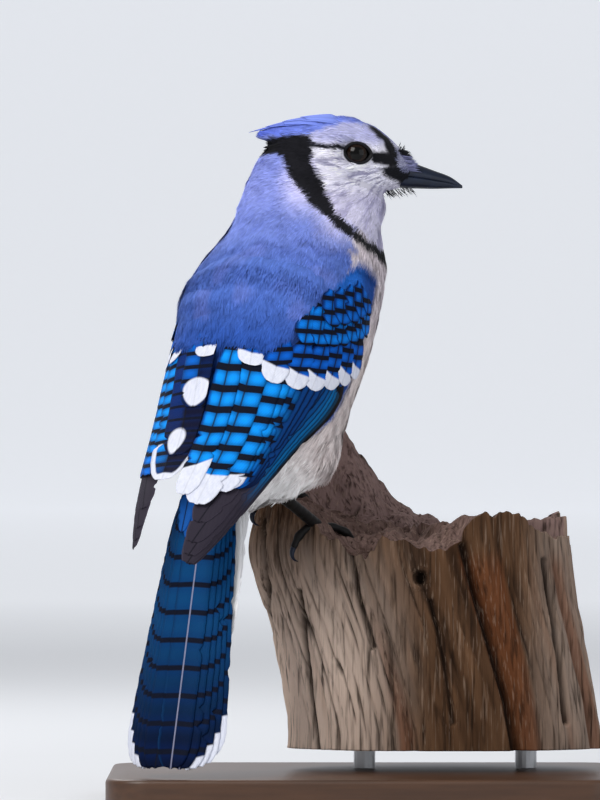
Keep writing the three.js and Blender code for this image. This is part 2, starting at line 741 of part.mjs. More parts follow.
// Materials
const finish = (color, roughness, metalness = 0) => new THREE.MeshStandardMaterial({ color, roughness, metalness });
const materials = {
  plumage: finish(0x6a78b8, 0.85),
  breast: finish(0xc9c4cb, 0.9),
  crest: finish(0x5a6cc4, 0.8),
  flight: finish(0x1c6fc4, 0.6),
  horn: finish(0x14151a, 0.35),
  scute: finish(0x17161a, 0.6),
  eye: finish(0x0a0808, 0.08),
  wood: finish(0x8a7767, 0.95),
  base: finish(0x3a2c22, 0.5),
  rod: finish(0x8c8c90, 0.35, 1),
};

const group = new THREE.Group();
group.position.set(-baseCentre.x, -baseCentre.y, 0);

function addNode(name, solid, material) {
  const made = solid.getMesh();
  const geometry = new THREE.BufferGeometry();
  geometry.setAttribute('position', new THREE.BufferAttribute(new Float32Array(made.vertProperties), 3));
  geometry.setIndex(new THREE.BufferAttribute(new Uint32Array(made.triVerts), 1));
  geometry.computeVertexNormals();
  const mesh = new THREE.Mesh(geometry, material);
  mesh.name = name;
  group.add(mesh);
}

// Flesh, parted by two thin cuts
const column = bodyColumn();
const columnRoom = bodyColumn(gap);
const skull = headLoft();
const neckTop = { point: headPoint(-5, 0, -8), normal: V(0.5, 0, 0.87) };
const neckFoot = { point: bodyPoint(0, 0, 204), normal: V(0.25, 0, 0.97) };
const eyes = [1, -1].map((side) => headPoint(eyePlace.forward, side * eyePlace.side, eyePlace.up));
const sockets = joined(eyes.map((centre) => ball(centre, eyeRadius + gap, 12)));
const billRoom = joined([mandible(true, gap), mandible(false, gap)]);

function lid(side) {
  const geometry = new THREE.TorusGeometry(4.2, 0.75, 4, 14);
  geometry.scale(1.1, 0.92, 1);
  geometry.rotateX(Math.PI / 2);
  geometry.rotateZ(rad(headHeading) + side * rad(-9));
  const place = headPoint(eyePlace.forward, side * (eyePlace.side + 3.2), eyePlace.up);
  geometry.translate(place.x, place.y, place.z);
  return fromGeometry(geometry);
}

// Two flat tufts of bristles that lie forward over the nostrils
function nostrilTufts() {
  return [1, -1].flatMap((side) =>
    [0, 1].map((k) =>
      vane(
        (along, across, depth) =>
          headPoint(mix(19, 30.5 - 2.4 * k, along), side * (mix(4.6, 2.6, along) + 0.9 * k - depth + 0.4),
            mix(1.2, -3.9, along) - 2.6 * k + across * 0.9),
        2.6,
        { rounding: 0.5, rows: [0, 0.6, 1], thickness: 0.9, columns: 2 },
      )));
}

const whole = column.add(joined([skull, lid(1), lid(-1)]));
const above = sideOf(neckTop.point, neckTop.normal, gap / 2);
const belowTop = sideOf(neckTop.point, neckTop.normal.clone().negate(), gap / 2);
const aboveFoot = sideOf(neckFoot.point, neckFoot.normal, gap / 2);
const belowFoot = sideOf(neckFoot.point, neckFoot.normal.clone().negate(), gap / 2);
const head = largest(whole.intersect(above).add(joined(nostrilTufts())).subtract(billRoom).subtract(sockets));
const torsoSolid = largest(column.intersect(belowFoot));
const bodyRoom = columnRoom.add(headLoft(gap));

addNode('torso', torsoSolid, materials.breast);
addNode('neck', largest(column.intersect(belowTop).intersect(aboveFoot)), materials.plumage);
addNode('head', head, materials.plumage);
addNode('crest', largest(crest().subtract(headLoft(gap)).subtract(columnRoom)), materials.crest);
addNode('bill_upper', mandible(true), materials.horn);
addNode('bill_lower', mandible(false), materials.horn);
eyes.forEach((centre, k) => addNode(k ? 'eye_left' : 'eye_right', ball(centre, eyeRadius, 12), materials.eye));
addNode('wing_right', wing(1, bodyRoom), materials.flight);
addNode('wing_left', wing(-1, bodyRoom), materials.flight);
addNode('tail', tail(columnRoom), materials.flight);

const perchRoom = [];
for (const leg of legs) {
  const thighSolid = thigh(leg);
  addNode(`thigh_${leg.name}`, largest(thighSolid.subtract(columnRoom).subtract(tarsus(leg, gap))), materials.breast);
  addNode(`tarsus_${leg.name}`, largest(tarsus(leg).subtract(columnRoom).subtract(foot(leg, gap))), materials.scute);
  addNode(`foot_${leg.name}`, foot(leg), materials.scute);
  perchRoom.push(foot(leg, gap), tarsus(leg, gap));
  const lines = [...toes.map((toe) => [toe.name, toeLine(leg, toe), 5.4]), ['hind', hindToeLine(leg), 7]];
  for (const [toeName, line, size] of lines) {
    const inward = (toeName === 'hind' ? V(leg.side > 0 ? 0.75 : 0.9, 0.66, -0.1) : V(-0.35, -0.5, -0.8)).normalize();
    addNode(`claw_${leg.name}_${toeName}`, largest(claw(line, inward, size).subtract(foot(leg, gap))), materials.horn);
    perchRoom.push(claw(line, inward, size, gap));
  }
}
addNode('perch_trunk', trunk(joined(perchRoom)), materials.wood);
addNode('stand_base', standBase(), materials.base);
addNode('stand_rod_left', standRod(trunkSections[0].middle - 30, trunkMiddleY), materials.rod);
addNode('stand_rod_right', standRod(trunkSections[0].middle + 30, trunkMiddleY), materials.rod);

export default group;
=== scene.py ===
"""A life-size blue jay on the broken rim of a cut length of weathered trunk, on a plain display stand.

Shapes are worked out in millimetres in the sculptor's frame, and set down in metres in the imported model's.
"""

import math

import bpy
import numpy as np
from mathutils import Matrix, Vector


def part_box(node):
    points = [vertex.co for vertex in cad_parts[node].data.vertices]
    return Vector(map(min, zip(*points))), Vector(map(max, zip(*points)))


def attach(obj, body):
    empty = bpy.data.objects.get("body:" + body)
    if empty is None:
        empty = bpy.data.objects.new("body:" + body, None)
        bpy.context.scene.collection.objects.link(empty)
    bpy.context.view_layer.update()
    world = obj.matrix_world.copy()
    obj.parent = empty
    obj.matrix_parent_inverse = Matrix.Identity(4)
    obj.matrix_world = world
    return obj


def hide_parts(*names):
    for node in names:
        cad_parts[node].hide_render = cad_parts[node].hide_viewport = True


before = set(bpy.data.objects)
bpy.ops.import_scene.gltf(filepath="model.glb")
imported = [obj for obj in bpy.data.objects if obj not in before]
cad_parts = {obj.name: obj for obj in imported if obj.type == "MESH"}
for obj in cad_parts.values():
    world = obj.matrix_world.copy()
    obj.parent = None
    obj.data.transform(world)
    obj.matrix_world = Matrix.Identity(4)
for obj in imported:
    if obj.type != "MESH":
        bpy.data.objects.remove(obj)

bl_info = {
    "name": "Blue jay on a trunk",
    "version": (1, 0, 0),
    "blender": (4, 5, 0),
    "location": "View3D > Sidebar > Blue jay",
    "description": "Builds a feathered blue jay on a weathered trunk, with its stand and studio",
    "category": "Add Mesh",
}

MM = 0.001  # metres
METRE = 1000  # millimetres

# Sizes and shape tables, in millimetres and degrees
SHIFT = np.array((-24.5, 5.0, 0.0))  # from the sculptor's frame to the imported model's
BODY_HEADING = math.radians(54)
HEAD_HEADING = math.radians(5)
HEAD_CENTRE = np.array((15.0, 6.0, 238.0))
SHOULDER = (-5.0, 200.0)
WING_PITCH = math.radians(58)
WING_BULGE = {1: 2.0, -1: 6.0}  # how much fuller than the cloak each side's wing is
BULGE_LENGTH = 132.0
CLOAK_BEND = 140.0  # past this distance the cloak's places run twice as far apart
TAIL_ROOT = (-57.0, 130.0)
TAIL_PITCH = math.radians(76.5)
LAYER_STEP = 0.3  # from one long feather of a wing to the next one under it
EYE_RADIUS = 5.0
EYE_PLACE = (5.0, 9.4, 1.0)
EYE_OPENING = (4.9, 4.0)  # half width and half height between the lids
EYE_LIFT = 0.3  # from the eye's middle up to the opening's middle
BARB_SPACING = 0.698
SLANT_OF_BARBS = 0.9
BAKE_PATCH = 0.003  # width of a strand's patch on the unwrap
PATCHES_ACROSS = 8  # feathers side by side on a feather mesh's unwrap
STRANDS_IN_A_PIECE = 39000  # of five triangles each
PIXEL = 0.37  # millimetres at the bird for each pixel of the picture
PICTURE_MIDDLE, PICTURE_FOOT = 300, 800

# at, forward, aside, heading, half width, half depth
BODY = np.array([
    (105, -52, 0, 54, 3, 4), (110, -45, 0, 54, 11, 13), (118, -36, 0, 54, 18, 20),
    (127, -27.5, 0, 54, 24.5, 26.5), (137, -22, 0, 54, 29, 30.5), (148, -19, -1.5, 54, 33, 33),
    (165, -12.7, -3, 54, 36.5, 36), (185, -8.2, -2.5, 54, 38, 37.5), (198, -3, -1, 54, 34.5, 35.5),
    (205, -0.3, 0, 50, 31.5, 32.5), (213, 3.6, 0.6, 30, 26.5, 29.5), (222, 7.1, 1.3, 12, 20.5, 28),
    (230, 7.3, -0.3, 5, 17, 23.5), (238, 7.8, 0.5, 5, 13.5, 20), (245, 8, 0, 5, 8, 13),
], float)
# at, top, bottom, half width
HEAD = np.array([
    (-24, 4, 4, 4), (-20, 9.5, 9, 9), (-12, 13, 13, 13), (-3, 14, 15, 14.3), (6, 13.8, 15, 13.2),
    (13, 12, 14.2, 11.2), (19, 7.4, 13, 8.6), (24, 2.2, 11.4, 6), (27.5, -1.5, 10.2, 4.2),
], float)
# at, top, half width, half height
CREST = np.array([
    (-35, 9.2, 1.2, 1), (-30, 10.6, 3.8, 2.6), (-22, 13, 7.4, 5.4), (-12, 15, 11.4, 8),
    (-2, 15.9, 12.6, 9), (7, 14.9, 10.6, 8.5), (14, 11.6, 7.5, 7),
], float)
# at, culmen, mouth, chin, half width
BILL = np.array([
    (17, 0, -6.3, -10.6, 5.2), (23, -0.6, -6.9, -11.4, 4.7), (29, -2.7, -7.6, -11.6, 3.9),
    (35, -4.9, -8.5, -11.7, 3), (41, -7.2, -9.6, -11.5, 1.9), (45.5, -10.4, -11, -11.4, 0.45),
], float)
# at, drop, half width, half depth
CLOAK = np.array([
    (0, -2, 32, 30), (14, -5, 36, 33.5), (50, -12, 35.5, 35), (81, -3.6, 29.5, 20),
    (114, 3.7, 23.5, 13.5), (140, 8, 17, 8),
], float)
# How far the mantle reaches round the back, in degrees, at each distance from the shoulder
MANTLE = np.array([
    (-20, 96), (1, 79), (12, 67), (21, 60), (33, 55), (42, 48.5), (50, 38), (56, 24), (59, 4), (60, 0),
], float)
# at, middle, half width
TRUNK = np.array([
    (18, 54, 58), (26, 54, 57.4), (41, 52.1, 57.1), (59, 48.9, 57.3), (74, 45.5, 58), (92, 42.2, 59.4),
    (111, 43, 56.5), (145, 40, 51),
], float)
# Height of the trunk's rim at each bearing: 0 is its left end, 90 its near side
RIM = np.array([
    (0, 112), (24, 111), (37, 112), (45, 108.5), (51, 103), (56, 99), (61, 97), (67, 91.4), (73, 90),
    (76.6, 92), (79.5, 99.5), (82.7, 95.5), (86.3, 97.3), (91.6, 93), (99.4, 93), (106, 96.2),
    (108, 100.6), (111, 105.8), (113.8, 107.7), (117.8, 104.3), (122.3, 106.6), (129.3, 106.2),
    (133, 103), (137, 99.2), (144, 98.8), (151, 97.3), (165, 97.7), (174, 94.4), (180, 74), (187, 72),
    (191, 104), (201, 106), (207, 98), (215, 92), (252, 91), (256, 94.5), (261, 101), (266, 103.9),
    (275, 109.2), (282, 118), (289, 128), (295, 137), (301, 143), (310, 141), (320, 132), (332, 121),
    (348, 114.5), (360, 112),
], float)
# Bearing, depth and half width of the trunk's furrows
FURROWS = [
    (31, 1.6, 3), (70, 3.2, 3.5), (108, 5, 3.5), (146, 2, 3), (184, 5, 5), (233, 2.5, 5),
]
TRUNK_RADIUS = 52.0
TRUNK_DEPTH = (16.0, 40.0)  # middle and half width from the near side to the far side
GRAIN_LEAN = 0.12  # degrees that the grain turns for each millimetre below the rim
# Ankle in the body's directions, foot as x, y and z, its heading, and the hind toe's way
LEGS = {
    "right": {
        "side": 1, "ankle": (-34, 12, 116), "foot": (7, -12, 101.3), "turn": 54,
        "hind": (-0.86, -0.5), "hind_curl": (0.75, 0.66, -0.1)},
    "left": {
        "side": -1, "ankle": (-34, -12, 121), "foot": (-9.5, 7, 114.2), "turn": 42,
        "hind": (-0.72, -0.69), "hind_curl": (0.9, 0.66, -0.1)},
}
TOES = {"inner": (24, 15), "middle": (0, 19), "outer": (-26, 16)}  # swing from the foot's heading, and length
FRONT_CURL = (-0.35, -0.5, -0.8)  # the way in which the front claws curl over the rim

# Markings of the head and neck, as outlines seen from the side: forward and up from the head's centre
NECKLACE = [
    (-35, 2.2), (-31, 5.2), (-25, 6.8), (-19.6, 7.5), (-9.5, 8.2), (-8.6, 3.4), (-9, -3), (-6.7, -6.8),
    (-5, -12), (-4, -16), (-2.6, -21), (0, -22.9), (3.4, -25.8), (7.1, -28.8), (11.4, -31.4), (17, -35),
    (24, -39), (24, -42.4), (15.4, -38), (10.1, -34.3), (5.6, -31.5), (1.6, -28.6), (-2.6, -25.6),
    (-6, -21.6), (-10.8, -17.6), (-14, -12.3), (-17.8, -6.8), (-20.2, 0.2), (-26, 1.4),
]
CROWN = [
    (-44, 6.2), (-29.5, 7), (-15.8, 7.5), (-9, 8.4), (-2.7, 10.6), (2.7, 11.9), (12, 11.6), (19.8, 6),
    (25, 7), (22, 30), (-44, 30),
]
FOREHEAD_BAND = [
    (11, 12), (14.6, 10), (18.6, 6), (21, 1.6), (21.4, -4), (17, -4), (16.6, 1.6), (15.2, 5.4),
    (11.6, 9.8),
]
LORE = [
    (9, 2.4), (13, 1.8), (18, 1.2), (21.6, -3.6), (15, -3.2), (10, -0.4),
]
GAPE = [
    (14, -4.6), (19, -3.6), (30, -3.4), (30, -10.4), (22, -9.6), (17, -7.4),
]
EYE_LINE = [
    (-9.8, 5.4), (-4, 4.5), (2, 3.4), (2, 1.6), (-4, 2.7), (-9.8, 3.5),
]
UNDER_EYE = [
    (2.6, -3.6), (6.4, -3.2), (10.6, -1.3), (10.6, -3), (7, -4.9), (3.2, -5),
]
BRISTLES = [
    (20.2, 3.6), (23.5, 3.2), (29, -1.6), (30, -5), (22, -4.8), (20.6, -1),
]


def srgb(code):
    """Linear red, green and blue of an sRGB colour written in hexadecimal."""
    parts = [int(code[i : i + 2], 16) / 255 for i in (0, 2, 4)]
    return np.array([c / 12.92 if c <= 0.04045 else ((c + 0.055) / 1.055) ** 2.4 for c in parts])


def mix(a, b, share):
    return a + (b - a) * share


def ramp(value, start, end):
    """0 before start and 1 after end, with a smooth rise between."""
    t = np.clip((np.asarray(value, float) - start) / (end - start), 0, 1)
    return t * t * (3 - 2 * t)


def unit(vectors):
    return vectors / np.maximum(np.linalg.norm(vectors, axis=-1, keepdims=True), 1e-9)


def between(stations, place):
    """Values of a table at places between its stations, on smooth curves. The last axis holds the values."""
    last = len(stations) - 1
    at = np.clip(np.asarray(place, float), stations[0, 0], stations[last, 0])
    i = np.clip(np.searchsorted(stations[:, 0], at) - 1, 0, last - 1)
    before, after = np.maximum(np.arange(last + 1) - 1, 0), np.minimum(np.arange(last + 1) + 1, last)
    slopes = (stations[after] - stations[before]) / (stations[after, :1] - stations[before, :1])
    span = (stations[i + 1, 0] - stations[i, 0])[..., None]
    t = (at[..., None] - stations[i, :1]) / span
    return (
        stations[i, 1:] * (2 * t**3 - 3 * t**2 + 1) + slopes[i, 1:] * span * (t**3 - 2 * t**2 + t)
        + stations[i + 1, 1:] * (3 * t**2 - 2 * t**3) + slopes[i + 1, 1:] * span * (t**3 - t**2)
    )


def noise(points, scale, seed=0):
    """Smooth random values from -1 to 1 at each point, with bumps about one scale wide."""
    points = np.asarray(points, float) / scale
    table = np.random.default_rng(seed).uniform(-1, 1, 4096)
    cell = np.floor(points).astype(np.int64)
    share = points - cell
    share = share * share * (3 - 2 * share)
    total = np.zeros(len(points))
    axes = points.shape[1]
    for corner in range(2**axes):
        place, weight = np.zeros(len(points), np.int64), np.ones(len(points))
        for axis, prime in zip(range(axes), (73856093, 19349663, 83492791)):
            step = corner >> axis & 1
            place ^= (cell[:, axis] + step) * prime
            weight *= share[:, axis] if step else 1 - share[:, axis]
        total += table[place & 4095] * weight
    return total


def turned(forward, right, up, heading):
    """A place ahead, to the right and up, of something that faces a heading, as x, y and z."""
    forward, right, up = np.broadcast_arrays(forward, right, up)
    c, s = math.cos(heading), math.sin(heading)
    return np.stack([forward * c + right * s, forward * s - right * c, up], -1).astype(float)


def unturned(points, heading):
    """Ahead, right and up of points, for something that faces a heading."""
    c, s = math.cos(heading), math.sin(heading)
    return points[:, 0] * c + points[:, 1] * s, points[:, 0] * s - points[:, 1] * c, points[:, 2]


def body_point(forward, right, up):
    """A place in the body's own directions, as x, y and z."""
    return turned(forward, right, up, BODY_HEADING)


def head_point(forward, right, up):
    """A place from the head's centre in the head's own directions, as x, y and z."""
    return HEAD_CENTRE + turned(forward, right, up, HEAD_HEADING)


def to_head(points):
    """Forward, right and up of points from the head's centre."""
    return unturned(points - HEAD_CENTRE, HEAD_HEADING)


def eye_ring(forward, up):
    """How far places seen from the side lie from the middle of the eye's opening, with 1 at its edge."""
    ahead = (forward - EYE_PLACE[0]) / EYE_OPENING[0]
    return np.hypot(ahead, (up - EYE_PLACE[2] - EYE_LIFT) / EYE_OPENING[1])


def wing_bulge(side, distance):
    """How much fuller than the cloak a side is at a distance from the shoulder."""
    most = np.where(side > 0, WING_BULGE[1], WING_BULGE[-1])
    return most * np.sin(np.pi * np.clip(distance / BULGE_LENGTH, 0, 1))


def cloak_point(side, distance, angle, depth):
    """A place on the cloak of the folded wings, from its distance, angle off the back's middle and depth."""
    side, distance, angle, depth = np.broadcast_arrays(side, distance, angle, depth)
    s = between(CLOAK, distance)
    above = s[..., 0] + (s[..., 2] - depth) * np.cos(angle)
    along = distance + np.maximum(distance - CLOAK_BEND, 0)
    return body_point(
        SHOULDER[0] - along * math.cos(WING_PITCH) - above * math.sin(WING_PITCH),
        side * (s[..., 1] + wing_bulge(side, distance) - depth) * np.sin(angle),
        SHOULDER[1] - along * math.sin(WING_PITCH) + above * math.cos(WING_PITCH),
    )


def to_cloak(points):
    """Distance, angle in degrees and depth of points, measured from the cloak of the folded wings."""
    forward, right, up = unturned(points, BODY_HEADING)
    forward, up = forward - SHOULDER[0], up - SHOULDER[1]
    distance = -forward * math.cos(WING_PITCH) - up * math.sin(WING_PITCH)
    above = -forward * math.sin(WING_PITCH) + up * math.cos(WING_PITCH)
    t = between(CLOAK, distance)
    a, b = np.abs(right) / (t[:, 1] + wing_bulge(right, distance)), (above - t[:, 0]) / t[:, 2]
    return distance, np.degrees(np.arctan2(a, b)), (1 - np.hypot(a, b)) * t[:, 2]


def mantle_reach(distance):
    """How far round the back the mantle's feathers reach at a distance from the shoulder, in degrees."""
    return np.interp(distance, MANTLE[:, 0], MANTLE[:, 1])


def tail_point(along, right, above):
    """A place on the arched fan of the tail."""
    arched = above - 0.006 * right * right
    return body_point(
        TAIL_ROOT[0] - along * math.cos(TAIL_PITCH) - arched * math.sin(TAIL_PITCH),
        right,
        TAIL_ROOT[1] - along * math.sin(TAIL_PITCH) + arched * math.cos(TAIL_PITCH),
    )


def loft(rings, ends=True):
    """Corners and triangles of a closed skin through rings of points, shaped (rings, corners of one, 3)."""
    rows, columns = rings.shape[:2]
    r, c = np.meshgrid(np.arange(rows - 1), np.arange(columns), indexing="ij")
    a, b = r * columns + c, r * columns + (c + 1) % columns
    d, e = a + columns, b + columns
    faces = [np.stack([a, b, e], -1).reshape(-1, 3), np.stack([a, e, d], -1).reshape(-1, 3)]
    corners = rings.reshape(-1, 3)
    if ends:
        corners = np.concatenate([corners, rings[:1].mean(1), rings[-1:].mean(1)])
        turn = np.arange(columns)
        first, last = rows * columns, rows * columns + 1
        faces.append(np.stack([(turn + 1) % columns, turn, np.full(columns, first)], -1))
        top = (rows - 1) * columns
        faces.append(np.stack([top + turn, top + (turn + 1) % columns, np.full(columns, last)], -1))
    return corners, np.concatenate(faces)


def tube(points, radii, sides=16, rows=24, swell=None):
    """A round limb along a smooth line through points, with radii spread evenly along it."""
    points = np.asarray(points, float)
    at = np.linspace(0, len(points) - 1, rows)
    table = np.column_stack([np.arange(len(points)), points])
    line = between(table, at)
    size = np.interp(np.linspace(0, len(radii) - 1, rows), np.arange(len(radii)), radii)
    if swell is not None:
        size = size * swell(np.linspace(0, 1, rows))
    tangent = unit(np.gradient(line, axis=0))
    normal = np.cross(tangent[0], (0.31, 0.53, 0.79))
    turn = np.linspace(0, 2 * np.pi, sides, endpoint=False)[:, None]
    rings = []
    for centre, along, radius in zip(line, tangent, size):
        normal = unit(normal - along * normal.dot(along))
        other = np.cross(along, normal)
        rings.append(centre + radius * (np.cos(turn) * normal + np.sin(turn) * other))
    return loft(np.array(rings))


def gathered(pieces):
    """Joins (corners, triangles) pieces into one."""
    corners, faces, count = [], [], 0
    for points, triangles in pieces:
        corners.append(points)
        faces.append(triangles + count)
        count += len(points)
    return np.concatenate(corners), np.concatenate(faces)


def metres(corners):
    """Corners in millimetres in the sculptor's frame as Blender stores them."""
    return ((corners + SHIFT) * MM).astype(np.float32).ravel()


def listed(rows, key, width, kind=np.float32):
    """One property of every row of a mesh's data, as an array with width columns."""
    values = np.empty(len(rows) * width, kind)
    rows.foreach_get(key, values)
    return values.reshape(-1, width)


def tint_mesh(mesh, tint):
    """Stores a colour for each corner of a mesh."""
    colours = np.column_stack([np.clip(tint, 0, 1), np.ones(len(tint))]).astype(np.float32)
    mesh.color_attributes.new("Tint", "FLOAT_COLOR", "POINT").data.foreach_set("color", colours.ravel())


def made(name, corners, faces, tint=None, uv=None, floats=None):
    """An object with a smooth mesh from arrays, whose corners are in millimetres in the sculptor's frame."""
    mesh = bpy.data.meshes.new(name)
    mesh.vertices.add(len(corners))
    mesh.vertices.foreach_set("co", metres(corners))
    mesh.loops.add(faces.size)
    mesh.loops.foreach_set("vertex_index", faces.astype(np.int32).ravel())
    mesh.polygons.add(len(faces))
    mesh.polygons.foreach_set("loop_start", np.arange(0, faces.size, faces.shape[1], dtype=np.int32))
    mesh.polygons.foreach_set("use_smooth", np.ones(len(faces), bool))
    mesh.update(calc_edges=True)
    if uv is not None:
        layer = mesh.uv_layers.new(name="OFBake")
        layer.uv.foreach_set("vector", uv[faces.ravel()].astype(np.float32).ravel())
    for key, values in (floats or {}).items():
        mesh.attributes.new(key, "FLOAT", "POINT").data.foreach_set("value", values.astype(np.float32))
    if tint is not None:
        tint_mesh(mesh, tint)
    piece = bpy.data.objects.new(name, mesh)
    bpy.context.scene.collection.objects.link(piece)
    return piece


def settle(piece, slot, material, *nodes):
    """Gives a finished piece its finish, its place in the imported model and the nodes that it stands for."""
    piece.data.materials.clear()
    piece.data.materials.append(material)
    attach(piece, "root")
    if nodes:
        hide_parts(*nodes)
    return piece


def alone(piece):
    """Makes one object the selected and active one."""
    bpy.ops.object.select_all(action="DESELECT")
    piece.select_set(True)
    bpy.context.view_layer.objects.active = piece


def applied(piece, kind, **values):
    """Adds a modifier to a piece and applies it."""
    alone(piece)
    modifier = piece.modifiers.new(kind.title(), kind)
    for key, value in values.items():
        setattr(modifier, key, value)
    bpy.ops.object.modifier_apply(modifier=modifier.name)


def edited(piece, *steps):
    """Runs edit-mode steps on the whole of one piece."""
    alone(piece)
    bpy.ops.object.mode_set(mode="EDIT")
    bpy.ops.mesh.select_all(action="SELECT")
    for step in steps:
        step()
    bpy.ops.object.mode_set(mode="OBJECT")


def corners_of(piece):
    """A piece's corners in millimetres in the sculptor's frame."""
    return listed(piece.data.vertices, "co", 3).astype(float) * METRE - SHIFT


def off_line(x, y, line):
    """How far each place lies from a line of straight stretches."""
    nearest = np.full(x.shape, 1e9)
    for (ax, ay), (bx, by) in zip(line, line[1:]):
        dx, dy = bx - ax, by - ay
        t = np.clip(((x - ax) * dx + (y - ay) * dy) / (dx * dx + dy * dy), 0, 1)
        nearest = np.minimum(nearest, np.hypot(x - ax - t * dx, y - ay - t * dy))
    return nearest


def inside(x, y, outline, soft):
    """1 inside an outline and 0 outside it, with an edge about soft millimetres wide."""
    closed = outline + outline[:1]
    within = np.zeros(len(x), bool)
    for (ax, ay), (bx, by) in zip(closed, closed[1:]):
        if ay != by:
            within ^= ((ay > y) != (by > y)) & (x < ax + (bx - ax) * (y - ay) / (by - ay))
    nearest = off_line(x, y, closed)
    return ramp(np.where(within, nearest, -nearest), -soft, soft)


def marking(points):
    """The plumage colour at places on the bird's head, neck and body."""
    blot = [noise(points, 2.2, seed)[:, None] for seed in (1, 2, 3)]
    forward, right, up = to_head(points + 0.55 * np.hstack(blot))
    distance, angle, depth = to_cloak(points)
    ahead, beside, height = unturned(points, BODY_HEADING)

    def paint(colour, code, share):
        return mix(colour, srgb(code), np.clip(share, 0, 1)[:, None])

    from_gape = np.hypot(forward - 19, up + 5)
    round_gape = np.degrees(np.arctan2(up + 5, 19 - forward))
    streak = noise(np.column_stack([round_gape / 2.2, from_gape / 5, np.sign(right) * 3]), 1, 7)
    head = np.tile(srgb("eceaf8"), (len(points), 1))
    head = paint(head, "6d6a92", ramp(streak, 0.0, 0.6) * 0.75 * ramp(up, 3, -3) * ramp(from_gape, 2, 7))
    head = paint(head, "acaedc", ramp(up, 2, 7) * 0.8)
    head = paint(head, "b9b4d6", ramp(up, -9, -16) * 0.6)
    neck = np.tile(srgb("d2cff4"), (len(points), 1))
    behind = -forward + np.maximum(0, up + 8) * 0.4
    neck = paint(neck, "8490d6", ramp(behind, 13, 25))
    neck = paint(neck, "7486d0", ramp(up, -10, -26) * ramp(behind, 2, 14))
    mantle = np.tile(srgb("6a7ecb"), (len(points), 1))
    mantle = paint(mantle, "4e6dbe", ramp(distance, -6, 24))
    mantle = paint(mantle, "264c9e", ramp(distance, 22, 50))
    mantle = paint(mantle, "3e62ae", ramp(angle, 40, 80) * 0.5)
    mantle = paint(mantle, "7f86cc", ramp(noise(points, 7.0, 8), 0.1, 0.7) * 0.25)
    neck = mix(neck, mantle, ramp(up, -20, -36)[:, None])
    front = np.tile(srgb("d8ced4"), (len(points), 1))
    front = paint(front, "eadfdd", ramp(height, 190, 160))
    front = paint(front, "f8f6f6", ramp(distance, 66, 88))
    front = paint(front, "857a7c", ramp(noise(points / (2.2, 2.2, 7), 1, 9), 0.1, 0.8) * 0.4)
    low = ramp(up, -20, -29)
    middle = between(BODY, height)
    bearing = np.degrees(np.arctan2(np.abs(beside - middle[:, 1]), ahead - middle[:, 0])) + 6 * blot[0][:, 0]
    chest = ramp(bearing, mix(64, 108, low), mix(56, 98, low))
    chest = np.maximum(chest, ramp(angle, 80, 88) * ramp(distance, 22, 34))
    throat = ramp(forward, 3, 9)
    collar = inside(forward, up, NECKLACE, 0.7) * ramp(height, 190, 196)
    ahead_of_collar = np.maximum(ramp(forward + (up + 12) * 0.25, -6.5, -5), throat) * ramp(up, -40, -36)
    below = ramp(up + 0.95 * forward, -20, -23) * ramp(up, -21, -24)
    colour = mix(neck, head, (ahead_of_collar * (1 - below))[:, None])
    colour = mix(colour, front, (below * chest)[:, None])
    colour = mix(colour, front, (chest * ramp(height, 200, 196))[:, None])
    colour = mix(colour, mantle, ((1 - chest) * ramp(height, 206, 198))[:, None])
    crown = inside(forward, up, CROWN, 0.7)
    blue = paint(np.tile(srgb("7c90e6"), (len(points), 1)), "5668c8", ramp(forward, -6, -30))
    blue = paint(blue, "8b9ae6", ramp(forward, 0, 14) * 0.6)
    colour = mix(colour, blue, crown[:, None])
    colour = paint(colour, "18181d", collar)
    colour = paint(colour, "17171c", inside(forward, up, FOREHEAD_BAND, 0.6) * ramp(np.abs(right), 1.5, 4))
    colour = paint(colour, "17171c", inside(forward, up, LORE, 0.6))
    colour = paint(colour, "15161c", inside(forward, up, GAPE, 0.5))
    colour = paint(colour, "202028", inside(forward, up, EYE_LINE, 0.5))
    colour = paint(colour, "f4f3fa", inside(forward, up, UNDER_EYE, 0.4))
    colour = paint(colour, "8184a6", inside(forward, up, BRISTLES, 0.6) * 0.8)
    covert = ramp(angle - mantle_reach(distance), -1, 3) * ramp(distance, -4, 2) * ramp(depth, 12, 7)
    covert = covert * ramp(height, 204, 198) * ramp(angle, 108, 102)
    azure = paint(np.tile(srgb("1f62bc"), (len(points), 1)), "143f86", ramp(angle, 78, 98))
    colour = mix(colour, azure, covert[:, None])
    return colour


def laid(way, normal):
    """Each way turned to lie along its surface, one unit long."""
    return unit(way - normal * (way * normal).sum(1, keepdims=True))


def lie(points, normals):
    """Which way the plumage lies at places on the skin, along the skin."""
    root = head_point(27, 0, -5)
    from_bill = unit(points - root + np.array((0, 0, -4.0)))
    back = body_point(-math.cos(WING_PITCH), 0, -math.sin(WING_PITCH))
    down = np.tile(unit(back), (len(points), 1))
    front = ramp(points @ unit(body_point(1, 0, 0)), -5, 15) * ramp(points[:, 2], 214, 190)
    down = unit(down + front[:, None] * np.array((0, 0, -0.6)))
    forward, right, up = to_head(points)
    crest_back = unit(head_point(-1, 0, -0.02) - HEAD_CENTRE)
    head = unit(mix(from_bill, crest_back, (ramp(up, 5, 10) * 0.85)[:, None]))
    drawn = ramp(forward, -6, -20) * ramp(up, 2, 7)
    crest_tip = unit(head_point(-34, 0, 9.8) - points)
    head = unit(mix(head, crest_tip, drawn[:, None]))
    way = mix(down, head, ramp(up, -34, -12)[:, None])
    return laid(way, normals)


def widths(along, rounding):
    """How wide a feather is along its length, as a share of its greatest width."""
    root = mix(0.45, 1, ramp(along, 0, 0.3))
    end = np.clip((along - rounding) / (1 - rounding), 0, 1)
    return root * np.maximum(0.1, np.sqrt(np.maximum(0, 1 - end * end)))


